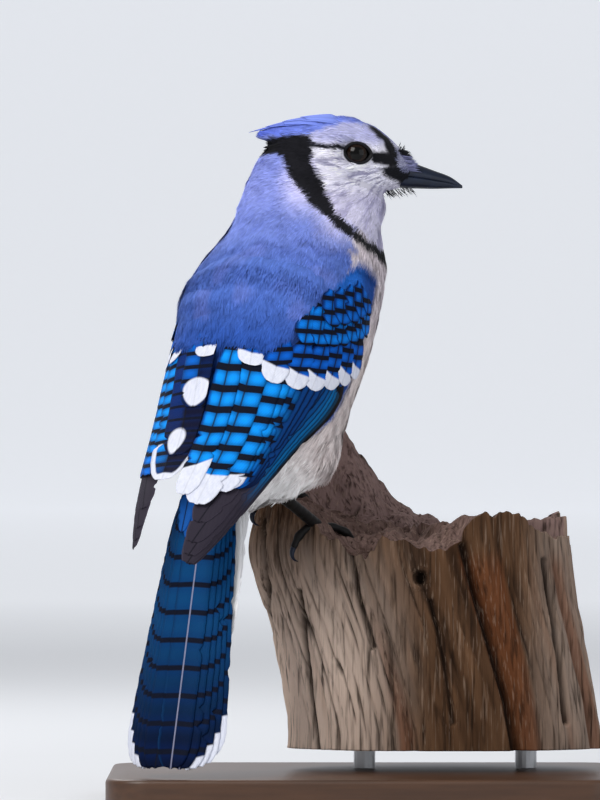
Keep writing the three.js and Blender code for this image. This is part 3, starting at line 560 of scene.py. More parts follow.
class Feathers:
    """Collects flat feathers into the arrays of one mesh."""

    def __init__(self, seed):
        self.corners, self.faces, self.tint, self.bake = [], [], [], []
        self.floats = {"Barb": [], "Bar": [], "Dark": [], "White": [], "Shaft": []}
        self.random = np.random.default_rng(seed)
        self.count, self.number = 0, 0

    def edges(self, along, length, width, ragged, splits):
        """How far the two edges reach at each place along a feather, ragged and split in places."""
        found = []
        for k in (0, 1):
            line = np.column_stack([along * length, np.full(len(along), 9.1 * k)])
            found.append(1 + ragged / width * noise(line, 1.6, self.number * 2 + k))
        for _ in range(splits):
            k, at = self.random.integers(2), self.random.uniform(0.45, 0.92)
            found[k] -= 0.32 * np.exp(-(((along - at) * length / 0.8) ** 2))
        return found

    def patch(self, s, q):
        """The feather's own patch of the unwrap, its upper side beside its under side."""
        column, row = self.number % PATCHES_ACROSS, self.number // PATCHES_ACROSS
        u = np.concatenate([0.03 + 0.44 * (q + 1) / 2, (0.53 + 0.44 * (q + 1) / 2)[:, ::-1]], 1)
        v = 0.03 + 0.94 * np.concatenate([s, s], 1)
        bake = np.stack([(column + u) / PATCHES_ACROSS, (row + v) / PATCHES_ACROSS], -1).reshape(-1, 2)
        return np.concatenate([bake, bake[:1], bake[-1:]])

    def add(self, place, length, width, colour, rounding=0.86, rows=36, columns=11, thickness=0.22,
            bars=None, white=None, dark=1.0, pale_shaft=False, ragged=0.5, splits=2):
        """One feather. place(along, across, depth) puts a point of it, and colour(along, across) tints it."""
        along = np.linspace(0, 1, rows) ** 0.9
        share = np.linspace(-1, 1, columns)
        share = np.sign(share) * np.abs(share) ** 1.15
        half = width / 2 * widths(along, rounding)
        left, right = self.edges(along, length, width, ragged, splits)
        s, q = np.meshgrid(along, share, indexing="ij")
        reach = np.where(q < 0, left[:, None], right[:, None]) * half[:, None]
        across = q * reach
        slant = s + np.abs(q) * 0.012 * np.where(s > 0.05, 1, 0)
        slant = np.minimum(slant, 1 + (1 - np.abs(q)) * 0.01)
        ridge = 0.16 * np.exp(-((q * width / 1.1) ** 2)) * (1 - 0.7 * s)
        sag = 0.12 * q * q * (1 - s)
        top = place(slant, across, sag - ridge)
        under = place(slant, across, sag + thickness * (1 - 0.5 * s))
        corners, faces = loft(np.concatenate([top, under[:, ::-1]], 1))
        mm = s * length
        fields = {
            "Barb": mm - SLANT_OF_BARBS * np.abs(across),
            "Bar": np.zeros_like(s) if bars is None else bars(mm, across, length),
            "Dark": np.full_like(s, 0 if bars is None else dark),
            "White": np.full_like(s, -9) if white is None else white(mm, across, length, reach),
            "Shaft": (np.abs(across) + 0.01) * (1 if pale_shaft else -1),
        }
        for key, grid in fields.items():
            both = np.concatenate([grid, grid[:, ::-1]], 1).ravel()
            self.floats[key].append(np.concatenate([both, [grid[0].mean(), grid[-1].mean()]]))
        tint = colour(s, q)
        flat = np.concatenate([tint, tint[:, ::-1] * 0.55 + 0.01], 1).reshape(-1, 3)
        self.tint.append(np.concatenate([flat, tint[0].mean(0)[None], tint[-1].mean(0)[None]]))
        self.bake.append(self.patch(s, q))
        self.corners.append(corners)
        self.faces.append(faces + self.count)
        self.count += len(corners)
        self.number += 1

    def object(self, name):
        """All the feathers as one object."""
        arrays = (np.concatenate(values) for values in (self.corners, self.faces, self.tint, self.bake))
        return made(name, *arrays, {key: np.concatenate(values) for key, values in self.floats.items()})


def tinted(inner, outer, tip=None, tip_from=0.7, outer_side=1, edge=0.0, glow=0.6):
    """A colour function for a feather with a dark inner web and a coloured outer web, brightest mid-web."""
    inner, outer = srgb(inner), srgb(outer)
    tip = outer if tip is None else srgb(tip)

    def colour(s, q):
        web = ramp(q * outer_side, edge - 0.12, edge + 0.05)[..., None]
        shade = mix(inner, mix(outer, tip, ramp(s, tip_from, 0.98)[..., None]), web)
        return shade * (1.12 - glow + glow * np.sin(np.pi * np.abs(q)))[..., None]

    return colour


def lined(base, line, tip, fade):
    """A colour function for a dark feather with a bright line along its outer web, and a duller tip."""
    base, line, tip = srgb(base), srgb(line), srgb(tip)

    def colour(s, q):
        glow = ramp(q, 0.3, 0.72) * ramp(q, 1.0, 0.84)
        shade = mix(base, line, glow[..., None])
        dull = mix(tip, tip * 2.6, (ramp(np.abs(q), 0.86, 1.0) * 0.5)[..., None])
        return mix(shade, dull, ramp(s, fade, fade + 0.22)[..., None])

    return colour


def barred(period, slant, start=0.0, lean=0.0):
    """A function for the dark cross bars of a feather, as a count of bars that grows along it."""
    return lambda mm, across, length: (mm - length + start + slant * np.abs(across) + lean * across) / period


def tipped(reach, bow=0.25, lean=0.0):
    """A function for the white end of a feather, in millimetres past the white's edge."""
    return lambda mm, across, length, edge: mm - (length - reach) + bow * np.abs(across) + lean * across


def edged(reach, rim):
    """A function for a white border round a feather's end."""

    def white(mm, across, length, edge):
        border = rim * (1 + 0.05 * across) - edge + np.abs(across)
        return np.minimum(mm - (length - reach), np.maximum(border, mm - (length - 1.5 * rim)))

    return white


def spotted(at, long, half, aside=0.0):
    """A function for a white spot, round above and narrow below, at a distance before the feather's tip."""

    def white(mm, across, length, edge):
        t = (mm - (length - at)) / long
        return half * (1 - np.hypot((across - aside) / (half * (1.05 - 0.38 * t)), t))

    return white


# Finishes
COLOURS = {"out": 2, "data_type": "RGBA"}  # settings of a Mix node that blends colours


def node(tree, kind, values=None, out=0, **settings):
    """Adds a shader node with its settings, fills or links its inputs and gives one of its outputs."""
    found = tree.nodes.new(f"ShaderNode{kind}")
    for key, value in settings.items():
        setattr(found, key, value)
    for key, value in (values or {}).items():
        if isinstance(value, bpy.types.NodeSocket):
            tree.links.new(value, found.inputs[key])
        else:
            found.inputs[key].default_value = (*srgb(value), 1) if isinstance(value, str) else value
    return found.outputs[out] if found.outputs else None


def grain(tree, width, detail=3.0, stretch=(1, 1, 1)):
    """A cloudy pattern fixed to the object, whose marks are about a width in millimetres."""
    place = node(tree, "TexCoord", out="Object")
    place = node(tree, "Mapping", {0: place, 3: stretch})
    return node(tree, "TexNoise", {"Vector": place, "Scale": METRE / width, "Detail": detail})


def finish(name, colour, roughness, normal=None, **constants):
    """A material with a Principled shader, whose values may be functions of its node tree."""
    material = bpy.data.materials.new(name)
    material.use_nodes = True
    tree = material.node_tree
    tree.nodes.clear()
    values = {"Base Color": colour, "Roughness": roughness}
    values.update({key.replace("_", " "): value for key, value in constants.items()})
    if normal is not None:
        values["Normal"] = normal
    values = {key: value(tree) if callable(value) else value for key, value in values.items()}
    node(tree, "OutputMaterial", {"Surface": node(tree, "BsdfPrincipled", values)})
    return material


def tint_colour(tree):
    return node(tree, "Attribute", out="Color", attribute_name="Tint")


def barb_wave(tree):
    """A wave from -1 to 1 that rises once for each barb."""
    place = node(tree, "Attribute", out="Fac", attribute_name="Barb")
    turns = node(tree, "Math", {0: place, 1: 2 * math.pi / BARB_SPACING}, operation="MULTIPLY")
    return node(tree, "Math", {0: turns}, operation="SINE")


def vane_colour(tree):
    """Cross bars, white tips, a dark shaft and fine barbs over the feather's own tint."""
    barb = node(tree, "Math", {0: barb_wave(tree), 1: 1.0}, operation="ADD")
    barb = node(tree, "Math", {0: barb, 1: 0.09}, operation="MULTIPLY")
    base = node(tree, "Mix", {0: barb, 6: tint_colour(tree), 7: (0.0, 0.004, 0.02, 1)}, **COLOURS)
    count = node(tree, "Attribute", out="Fac", attribute_name="Bar")
    wave = node(tree, "Math", {0: count, 1: 2 * math.pi}, operation="MULTIPLY")
    wave = node(tree, "Math", {0: wave}, operation="SINE")
    strength = node(tree, "Attribute", out="Fac", attribute_name="Dark")
    dull = node(tree, "MapRange", {0: wave, 1: -0.9, 2: 0.6})
    dull = node(tree, "Math", {0: dull, 1: strength}, operation="MULTIPLY")
    dull = node(tree, "Math", {0: dull, 1: 0.62}, operation="MULTIPLY")
    base = node(tree, "Mix", {0: dull, 6: base, 7: "04245e"}, **COLOURS)
    bar = node(tree, "Math", {0: wave, 1: 1.0}, operation="SUBTRACT")
    wider = node(tree, "Math", {0: strength, 1: 0.58}, operation="MULTIPLY")
    bar = node(tree, "Math", {0: bar, 1: wider}, operation="ADD")
    bar = node(tree, "MapRange", {0: bar, 1: 0.0, 2: 0.14})
    base = node(tree, "Mix", {0: bar, 6: base, 7: (0.004, 0.006, 0.016, 1)}, **COLOURS)
    past_edge = node(tree, "Attribute", out="Fac", attribute_name="White")
    white = node(tree, "MapRange", {0: past_edge, 1: -0.35, 2: 0.35})
    snow = node(tree, "Mix", {0: grain(tree, 1.111, 3.0, (1, 1, 0.2)), 6: "c2c7da", 7: "e8eaf4"}, **COLOURS)
    base = node(tree, "Mix", {0: white, 6: base, 7: snow}, **COLOURS)
    across = node(tree, "Attribute", out="Fac", attribute_name="Shaft")
    shaft = node(tree, "Math", {0: across}, operation="ABSOLUTE")
    shaft = node(tree, "MapRange", {0: shaft, 1: 0.4, 2: 0.24})
    pale = node(tree, "Math", {0: across, 1: 0.0}, operation="GREATER_THAN")
    line = node(tree, "Mix", {0: pale, 6: "12131b", 7: "8e8fa8"}, **COLOURS)
    hidden = node(tree, "Math", {0: white, 1: 0.65}, operation="MULTIPLY")
    bare = node(tree, "Math", {0: 0.75, 1: hidden}, operation="SUBTRACT")
    shaft = node(tree, "Math", {0: shaft, 1: bare}, operation="MULTIPLY")
    return node(tree, "Mix", {0: shaft, 6: base, 7: line}, **COLOURS)


def vane_normal(tree):
    return node(tree, "Bump", {"Height": barb_wave(tree), "Strength": 0.35, "Distance": 0.12 * MM})


def scute_normal(tree):
    return node(tree, "Bump", {"Height": grain(tree, 0.714), "Strength": 0.3, "Distance": 0.2 * MM})


def horn_colour(tree):
    slate = node(tree, "Math", {0: grain(tree, 3.846), 1: 0.75}, operation="MULTIPLY")
    return node(tree, "Mix", {0: slate, 6: "08090e", 7: "1d2a44"}, **COLOURS)


def horn_normal(tree):
    ripple = grain(tree, 2.0, 2.0, (0.3, 1, 1))
    return node(tree, "Bump", {"Height": ripple, "Strength": 0.12, "Distance": 0.2 * MM})


def eye_colour(tree):
    radius = node(tree, "Attribute", out="Fac", attribute_name="Radius")
    iris = node(tree, "MapRange", {0: radius, 1: 2.3, 2: 2.55})
    rim = node(tree, "MapRange", {0: radius, 1: 3.3, 2: 3.8})
    brown = node(tree, "Mix", {0: grain(tree, 1.111), 6: "0c0705", 7: "24150b"}, **COLOURS)
    inner = node(tree, "Mix", {0: iris, 6: "030303", 7: brown}, **COLOURS)
    return node(tree, "Mix", {0: rim, 6: inner, 7: "050505"}, **COLOURS)


def wood_colour(tree):
    """Dark pores and pale flecks, drawn out along the grain."""
    pores = node(tree, "MapRange", {0: grain(tree, 1.429, 4.0, (1, 1, 0.06)), 1: 0.5, 2: 0.28})
    pores = node(tree, "Math", {0: pores, 1: 0.85}, operation="MULTIPLY")
    base = node(tree, "Mix", {0: pores, 6: tint_colour(tree), 7: "1d130d"}, **COLOURS)
    flecks = node(tree, "MapRange", {0: grain(tree, 0.769, 3.0, (1, 1, 0.05)), 1: 0.56, 2: 0.72})
    flecks = node(tree, "Math", {0: flecks, 1: 0.3}, operation="MULTIPLY")
    return node(tree, "Mix", {0: flecks, 6: base, 7: "a8917f"}, **COLOURS)


def wood_normal(tree):
    fibres = grain(tree, 1.111, 5.0, (1, 1, 0.05))
    return node(tree, "Bump", {"Height": fibres, "Strength": 0.6, "Distance": 0.6 * MM})


def board_colour(tree):
    return node(tree, "Mix", {0: grain(tree, 38.46, 8.0, (1, 16, 16)), 6: "2e1d13", 7: "5b3c27"}, **COLOURS)


def board_normal(tree):
    pores = grain(tree, 16.67, 6.0, (1, 14, 14))
    return node(tree, "Bump", {"Height": pores, "Strength": 0.15, "Distance": 0.2 * MM})


def far_glow(tree):
    """Light of the sweep's own, none near the bird and growing with the distance from it."""
    place = node(tree, "TexCoord", out="Object")
    distance = node(tree, "VectorMath", {0: place}, "Value", operation="LENGTH")
    return node(tree, "MapRange", {0: distance, 1: 0.4, 2: 3.0, 3: 0.0, 4: 0.5})


def palette():
    """The finishes of the bird, the trunk and the stand, made once."""
    if "Soft body plumage" in bpy.data.materials:
        return bpy.data.materials
    # Loose contour feathers scatter light softly, so edges glow and nothing glints.
    finish("Soft body plumage", tint_colour, 0.85, Specular_IOR_Level=0.1, Sheen_Weight=0.04,
           Sheen_Roughness=0.5)
    # Stiff vanes are silkier than body feathers, with barbs that catch the light in fine lines.
    finish("Silky barbed vane", vane_colour, 0.6, vane_normal, Specular_IOR_Level=0.05)
    # Polished horn: a slate sheen along the ridge and soft highlights.
    finish("Slate horn", horn_colour, 0.3, horn_normal, Specular_IOR_Level=0.3)
    # Dry plates of skin, nearly black, with dull edges.
    finish("Dark leg scutes", tint_colour, 0.55, scute_normal, Specular_IOR_Level=0.2)
    # A wet dark eye under a clear surface.
    finish("Wet dark eye", eye_colour, 0.14, Specular_IOR_Level=0.12, Coat_Weight=0.16, Coat_Roughness=0.06)
    # Sun-bleached wood, dull, with grain that breaks the light into fine streaks.
    finish("Weathered grey wood", wood_colour, 0.92, wood_normal, Specular_IOR_Level=0.08)
    # Oiled hardwood with a satin surface.
    finish("Satin brown wood", board_colour, 0.42, board_normal)
    # Brushed steel, grey and satin, with broad soft highlights.
    finish("Brushed steel", "b4b6ba", 0.32, Metallic=1.0)
    # Matt pale studio sweep, which glows a little where it lies far from the lights.
    finish("Pale studio sweep", "dcdee2", 0.95, Specular_IOR_Level=0.1, Emission_Color="e4e7ec",
           Emission_Strength=far_glow)
    return bpy.data.materials


# Pieces
def body_rings(extra, rows=120, sides=110):
    """Rings round the body from its table, with extra added to its half width and half depth."""
    up = np.linspace(BODY[0, 0], BODY[-1, 0], rows)
    s = between(BODY, up)
    turn = np.linspace(0, 2 * np.pi, sides, endpoint=False)
    ahead = (s[:, 4:5] + extra) * np.cos(turn)
    beside = (s[:, 3:4] + extra) * np.sin(turn)
    c, n = np.cos(np.radians(s[:, 2:3])), np.sin(np.radians(s[:, 2:3]))
    centre = body_point(s[:, 0], s[:, 1], up)[:, None]
    offset = np.stack([ahead * c + beside * n, ahead * n - beside * c, np.zeros_like(ahead)], -1)
    return centre + offset


def head_rings(extra, rows=70, sides=90):
    """Rings round the head from its table."""
    at = np.linspace(HEAD[0, 0], HEAD[-1, 0], rows)
    s = between(HEAD, at)
    turn = np.linspace(0, 2 * np.pi, sides, endpoint=False)
    middle, half = (s[:, 0:1] - s[:, 1:2]) / 2, (s[:, 0:1] + s[:, 1:2]) / 2
    return head_point(at[:, None], (s[:, 2:3] + extra) * np.cos(turn), middle + (half + extra) * np.sin(turn))


def crest_rings(extra, rows=50, sides=48):
    """Rings round the core of the crest."""
    at = np.linspace(-29, CREST[-1, 0], rows)
    s = between(CREST, at)
    turn = np.linspace(0, 2 * np.pi, sides, endpoint=False)
    return head_point(
        at[:, None], np.maximum(0.3, s[:, 1:2] + extra) * np.cos(turn),
        s[:, 0:1] - s[:, 2:3] + np.maximum(0.3, s[:, 2:3] + extra) * np.sin(turn))


def slab_rings(side, distances, first, last, top, under, columns=40):
    """A curved slab that lies in the cloak of the wings, between two angles at each distance."""
    share = np.linspace(0, 1, columns)
    rings = []
    for d in distances:
        angle = mix(first(d), last(d), share)
        upper = cloak_point(side, d, np.radians(angle), top(d, angle))
        lower = cloak_point(side, d, np.radians(angle[::-1]), under)
        rings.append(np.concatenate([upper, lower]))
    return np.array(rings)


def thigh(leg):
    """The feathered thigh of one leg."""
    side = leg["side"]
    line = [body_point(*place) for place in (
        (-8, side * 17, 143), (-18, side * 17, 131), (-28, side * 14, 121), leg["ankle"])]
    return tube(line, [8, 11, 7.2, 2.6], 30, 30)


def wing_arm(side):
    """The fleshy upper part of one folded wing, under its coverts."""
    return loft(slab_rings(
        side, np.linspace(3, 78, 40),
        lambda d: mix(50, 6, ramp(d, 10, 36)), lambda d: mix(99, 74, ramp(d, 30, 80)),
        lambda d, angle: 2.2 + 1.8 * ramp(angle, 30, 90) + 4 * ramp(d, 8, 2), 10))


def mantle_slab():
    """The back's cushion of feathers, from one wing over to the other."""
    signed = np.linspace(-1, 1, 81)
    side = np.where(signed < 0, -1, 1)
    rings = []
    for d in np.linspace(-3, 54, 50):
        angle = np.radians(np.abs(signed * mantle_reach(d)))
        rise = 0.4 + 2.4 * ramp(np.abs(signed), 0.8, 1) + 2.2 * ramp(d, 46, 54) + 9.0 * ramp(d, 22, -3)
        upper = cloak_point(side, d, angle, rise)
        lower = cloak_point(side[::-1], d, angle[::-1], 9.0)
        rings.append(np.concatenate([upper, lower]))
    return loft(np.array(rings))


def with_eye_sockets(corners):
    """The skin's corners with a flat behind each eye, and a low swelling round it."""
    forward, right, up = to_head(corners)
    ring = eye_ring(forward, up)
    push = ramp(ring, 1.12, 0.86) * ramp(np.abs(right), 6, 9)
    right = mix(right, np.sign(right) * np.minimum(np.abs(right), 10.0), push)
    swell = 0.5 * np.exp(-(((ring - 1.15) / 0.14) ** 2)) * (np.abs(right) > 7)
    right = right + np.sign(right) * swell
    near = np.abs(forward) + np.abs(up) < 60
    corners[near] = head_point(forward, right, up)[near]
    return corners


def skin_object(size):
    """One even skin over torso, neck, head, thighs, crest and the arms of the wings."""
    pieces = [loft(body_rings(-1.3)), loft(head_rings(-0.8)), loft(crest_rings(-1.3))]
    pieces += [thigh(leg) for leg in LEGS.values()] + [wing_arm(side) for side in (1, -1)] + [mantle_slab()]
    parts = [made(f"flesh_{k}", *piece) for k, piece in enumerate(pieces)]
    for part in parts:
        edited(part, lambda: bpy.ops.mesh.normals_make_consistent(inside=False))
    for part in parts:
        part.select_set(True)
    bpy.context.view_layer.objects.active = parts[0]
    bpy.ops.object.join()
    skin = bpy.context.view_layer.objects.active
    skin.name = "skin"
    applied(skin, "REMESH", mode="VOXEL", voxel_size=size * MM, use_smooth_shade=True)
    applied(skin, "SMOOTH", factor=0.5, iterations=7)
    corners = with_eye_sockets(corners_of(skin))
    skin.data.vertices.foreach_set("co", metres(corners))
    applied(skin, "TRIANGULATE")
    edited(skin, lambda: bpy.ops.uv.smart_project(angle_limit=math.radians(66), island_margin=0.002))
    skin.data.uv_layers[0].name = "OFBake"
    # Painted shade: the skin under the strands takes the markings at seven tenths of their brightness
    tint_mesh(skin.data, marking(corners) * 0.7)
    return skin


def roots_on(skin, amount, random):
    """Places spread over the skin, with their normals and their places on its unwrap."""
    mesh = skin.data
    corners, normals = corners_of(skin), listed(mesh.vertices, "normal", 3)
    faces = listed(mesh.loops, "vertex_index", 1, np.int32).reshape(-1, 3)
    unwrap = listed(mesh.uv_layers["OFBake"].uv, "vector", 2).reshape(-1, 3, 2)
    a, b, c = (corners[faces[:, k]] for k in range(3))
    area = np.linalg.norm(np.cross(b - a, c - a), axis=1) / 2
    steps = (np.arange(amount) + random.uniform(0, 1, amount)) / amount
    chosen = np.minimum(np.searchsorted(np.cumsum(area) / area.sum(), steps), len(faces) - 1)
    u, v = random.uniform(0, 1, (2, amount))
    u, v = np.where(u + v > 1, 1 - u, u), np.where(u + v > 1, 1 - v, v)
    share = np.column_stack([1 - u - v, u, v])[..., None]
    place = (corners[faces[chosen]] * share).sum(1)
    normal = unit((normals[faces[chosen]] * share).sum(1))
    return place, normal, (unwrap[chosen] * share).sum(1)


def blades(place, normal, way, length, width, lift, colour, bake, random):
    """Thin tapered feather strands: seven corners and five triangles each."""
    count = len(place)
    across = unit(np.cross(normal, way))
    curve = random.uniform(-0.12, 0.12, (count, 1))
    corners = []
    for s, reach in ((0, 0.7), (0.4, 1.0), (0.75, 0.72), (1.0, None)):
        rise = -0.35 + lift * np.sin(s * 1.9) * length
        middle = (place + way * (s * length)[:, None] + normal * rise[:, None]
                  + across * curve * (s * s * length)[:, None])
        half = 0 if reach is None else across * (width * reach / 2)[:, None]
        corners += [middle] if reach is None else [middle - half, middle + half]
    corners = np.stack(corners, 1).reshape(-1, 3)
    pattern = np.array([(0, 1, 3), (0, 3, 2), (2, 3, 5), (2, 5, 4), (4, 5, 6)])
    faces = (np.arange(count)[:, None, None] * 7 + pattern).reshape(-1, 3)
    # Painted shade and light: each strand is darkened to half its colour at the root and lightened a little
    # towards its tip
    shade = np.array((0.5, 0.5, 0.92, 0.92, 1.05, 1.05, 1.15))[None, :, None]
    tint = (colour[:, None] * shade).reshape(-1, 3)
    patch = np.array([(0, 0), (1, 0), (0, 0.4), (1, 0.4), (0, 0.75), (1, 0.75), (0.5, 1)])
    uv = (bake[:, None] + (patch * BAKE_PATCH - BAKE_PATCH / 2)).reshape(-1, 2)
    return corners, faces, tint, uv


def bare(place):
    """Whether each place on the skin has no strands: at the eyes and the mouth, and under long feathers."""
    forward, right, up = to_head(place)
    distance, angle, depth = to_cloak(place)
    eye = (eye_ring(forward, up) < 1.04) & (np.abs(right) > 6)
    mouth = (forward > 25.5) & (np.abs(right) < 6) & (up < 0) & (up > -13)
    wing = (distance > 27) & (angle > mantle_reach(distance) + 1) & (place[:, 2] < 200)
    return eye | mouth | wing & (((angle < 84) & (depth > 1.5)) | ((angle < 99) & (depth < 9)))


def combed(place, normal, clump, random):
    """The way of each strand along the skin, gathered in clumps, loose on the belly and calm on the crest."""
    forward, right, up = to_head(place)
    loose = ramp(place[:, 2], 150, 120)[:, None] * 0.25
    calm = 1 - 0.85 * (ramp(forward, -14, -24) * ramp(up, 2, 7))[:, None]
    way = lie(place, normal)
    way = unit(way + (clump * (0.2 + loose) + random.normal(0, 0.08, place.shape)) * calm)
    return laid(way, normal)


def strand_sizes(place, way, clump, jay, random):
    """Length, width and lift of each strand: small on the face, long on the belly, broad beside the wing."""
    forward, right, up = to_head(place)
    distance, angle, depth = to_cloak(place)
    wing = (angle > mantle_reach(distance) + 1) & (angle < 106) & (distance > 0) & (depth < 9)
    wing &= place[:, 2] < 202
    face = ramp(forward, 2, 18) * ramp(up, -22, -14)
    belly = ramp(place[:, 2], 150, 120)
    length = mix(jay.strand_length, 2.2, face) * random.uniform(0.8, 1.2, len(place))
    length = length * mix(1, 0.82, ramp(up, -26, -16) * (1 - face))
    length = length * mix(1, 0.6, ramp(forward, -18, -29) * ramp(up, 3, 8))
    length = length * mix(1, 1.35, belly * ramp(angle, 90, 110))
    length = np.where(wing, 4.6, length)
    tip_forward, _, tip_up = to_head(place + way * length[:, None])
    over_eye = (eye_ring(tip_forward, tip_up) < 1.05) & (np.abs(right) > 5)
    length = np.where(over_eye, 1.0, length)
    width = jay.strand_width * mix(1, 0.55, face) * random.uniform(0.75, 1.25, len(place))
    width = np.where(wing, width * 1.9, width)
    return length, width, np.where(wing, 0.12, 0.13 + 0.05 * clump[:, 0] + 0.06 * belly)


def coat_parts(place):
    """Name, slot and strands of each part of the coat."""
    _, right, up = to_head(place)
    upper, back = up > -24, to_cloak(place)[1] < 92
    under = ~upper & ~back
    return [
        ("coat_head", "mantle", upper & (right > 0)), ("coat_nape", "mantle", upper & (right <= 0)),
        ("coat_back", "mantle", ~upper & back),
        ("coat_breast", "breast", under & (right > 0)), ("coat_belly", "breast", under & (right <= 0)),
    ]


class JaySettings(bpy.types.PropertyGroup):
    strands: bpy.props.IntProperty(
        name="Strands", description="How many fine feather strands the coat has",
        default=235000, min=1000, max=260000)
    strand_length: bpy.props.FloatProperty(
        name="Strand length", description="Length of a body strand in millimetres",
        default=6.6, min=2, max=14)
    strand_width: bpy.props.FloatProperty(
        name="Strand width", description="Width of a body strand in millimetres",
        default=0.52, min=0.2, max=2)
    skin_grid: bpy.props.FloatProperty(
        name="Skin grid", description="Size of the skin's grid in millimetres", default=0.9, min=0.5, max=3)
    bar_period: bpy.props.FloatProperty(
        name="Bar spacing", description="Distance between the dark bars of a feather in millimetres",
        default=8.0, min=2, max=20)


class TrunkSettings(bpy.types.PropertyGroup):
    grain: bpy.props.FloatProperty(
        name="Grain", description="Depth of the weathered grain in millimetres", default=0.8, min=0, max=3)
    columns: bpy.props.IntProperty(
        name="Columns", description="Grid columns round the trunk", default=540, min=90, max=900)


class StudioSettings(bpy.types.PropertyGroup):
    distance: bpy.props.FloatProperty(
        name="Distance", description="Camera distance from the bird", default=3.0, unit="LENGTH")
    view_height: bpy.props.FloatProperty(
        name="View height", description="Height that the picture shows at the bird",
        default=0.296, unit="LENGTH")
    key_power: bpy.props.FloatProperty(
        name="Key light", description="Power of the key light in watts", default=19.0)
    fill_power: bpy.props.FloatProperty(
        name="Fill light", description="Power of the fill and rim lights in watts", default=5.0)


class JAY_OT_skin(bpy.types.Operator):
    """Makes the bird's skin and its coat of fine strands"""

    bl_idname = "jay.skin"
    bl_label = "Skin and coat"

    def execute(self, context):
        jay = context.scene.jay
        plumage = palette()["Soft body plumage"]
        skin = skin_object(jay.skin_grid)
        settle(skin, "mantle", plumage, "torso", "neck", "head", "thigh_right", "thigh_left")
        random = np.random.default_rng(5)
        place, normal, bake = roots_on(skin, jay.strands, random)
        kept = ~bare(place)
        place, normal, bake = place[kept], normal[kept], bake[kept]
        clump = np.column_stack([noise(place, 3.2, seed) for seed in (11, 12, 13)])
        way = combed(place, normal, clump, random)
        length, width, lift = strand_sizes(place, way, clump, jay, random)
        colour = marking(place + way * (length * 0.35)[:, None])
        colour = colour * (1 + 0.1 * clump[:, 1] + random.normal(0, 0.1, len(place)))[:, None]
        strands = place, normal, way, length, width, lift, colour, bake
        for name, slot, chosen in coat_parts(place):
            chosen = np.flatnonzero(chosen)
            for k in range(0, len(chosen), STRANDS_IN_A_PIECE):
                picked = chosen[k : k + STRANDS_IN_A_PIECE]
                locks = blades(*(values[picked] for values in strands), random)
                settle(made(f"{name}_{k // STRANDS_IN_A_PIECE + 1}", *locks), slot, plumage)
        return {"FINISHED"}


class JAY_OT_crest(bpy.types.Operator):
    """Adds the long narrow plumes of the crest"""

    bl_idname = "jay.crest"
    bl_label = "Crest plumes"

    def execute(self, context):
        feathers = Feathers(21)
        random = np.random.default_rng(22)
        tiers = [
            (2, -14, 13, 58, 0.1), (-4, -21, 11, 58, 0.3), (-9, -27, 9, 50, 0.5), (-13, -31, 7, 36, 0.7),
            (-15, -33, 5, 18, 0.8),
        ]
        for tier, (root, tip, count, spread, lift) in enumerate(tiers):
            for k in range(count):
                share = 2 * k / (count - 1) - 1 + random.uniform(-0.08, 0.08)
                end = tip + random.uniform(-1.2, 0.8)

                def place(along, across, depth):
                    forward = mix(root, end, along)
                    s = between(CREST, np.maximum(forward, -35))
                    angle = np.radians(spread) * share * mix(1, 0.6, along) + across / (s[..., 1] + 1.5)
                    sunk = lift + depth - 0.5 * along + 2.0 * ramp(along, 0.4, 0)
                    return head_point(
                        forward, np.maximum(0.2, s[..., 1] - sunk) * np.sin(angle),
                        s[..., 0] - s[..., 2] + np.maximum(0.2, s[..., 2] - sunk) * np.cos(angle))

                shade = random.uniform(0.9, 1.1)
                blue = mix(srgb("7c90e6"), srgb("4f62c4"), tier / 4) * shade
                feathers.add(
                    place, abs(end - root), 2.4, lambda s, q: blue * (0.85 + 0.2 * s[..., None]),
                    rounding=0.25, rows=18, columns=5, thickness=0.2, splits=1, ragged=0.5)
        for k in range(12):
            share, high = 2 * (k % 6) / 5 - 1, k // 6

            def place(along, across, depth):
                sideways = share * mix(9.5, 1.2, along**1.3) + across * 0.5
                up = mix(6.6, 3.6 - 0.8 * high, along) + 0.5 * across * np.sign(share)
                return head_point(mix(-11, -28.5 + 1.5 * high, along), sideways, up - depth)

            feathers.add(
                place, 18, 2.8, lambda s, q: np.tile(srgb("17171c"), (*s.shape, 1)),
                rounding=0.25, rows=14, columns=5, thickness=0.2, splits=1, ragged=0.6)
        plumes = feathers.object("crest_plumes")
        settle(plumes, "crest", palette()["Soft body plumage"], "crest")
        return {"FINISHED"}


def on_cloak(side, reach, root, tip, depth_of, root_sunk=0.0):
    """Places a feather on the cloak between two places, each a distance from the shoulder and an angle."""

    def place(along, across, depth):
        distance = mix(root[0], tip[0], along) * reach
        angle = np.radians(mix(root[1], tip[1], along))
        s = between(CLOAK, distance)
        round_ = np.hypot(s[..., 1] * np.cos(angle), s[..., 2] * np.sin(angle))
        angle = np.maximum(angle + across / round_, 0.004)
        sunk = depth_of(along, np.degrees(angle)) + depth + root_sunk * ramp(along, 0.2, 0)
        return cloak_point(side, distance, angle, sunk)

    return place


def covert_rows(side):
    """Angles, tip distances, length, width, lift, colour, first bar and white tip of each row of coverts."""
    if side > 0:
        angles, ends = (24, 40, 54, 66, 76, 86, 94), (58, 62, 60.8, 57.8, 53.8, 48.5, 43)
    else:
        angles, ends = (6, 36, 50, 62, 73, 83, 92), (59, 57.5, 57, 55, 52, 48, 44)
    return [
        (angles, ends, 19, 10.5, 0.75, "0a5cc4", 3.7, 6.6),
        ((51, 59, 67, 75, 83, 91, 98), (44, 42, 39.5, 36.5, 33, 29.5, 26), 15, 9.5, 1.25, "0a74d6", 0.9, 0),
        ((64, 72, 80, 88, 96), (33, 30, 26.5, 22.5, 18.5), 13, 9, 1.7, "0c62c4", 0.9, 0),
    ]


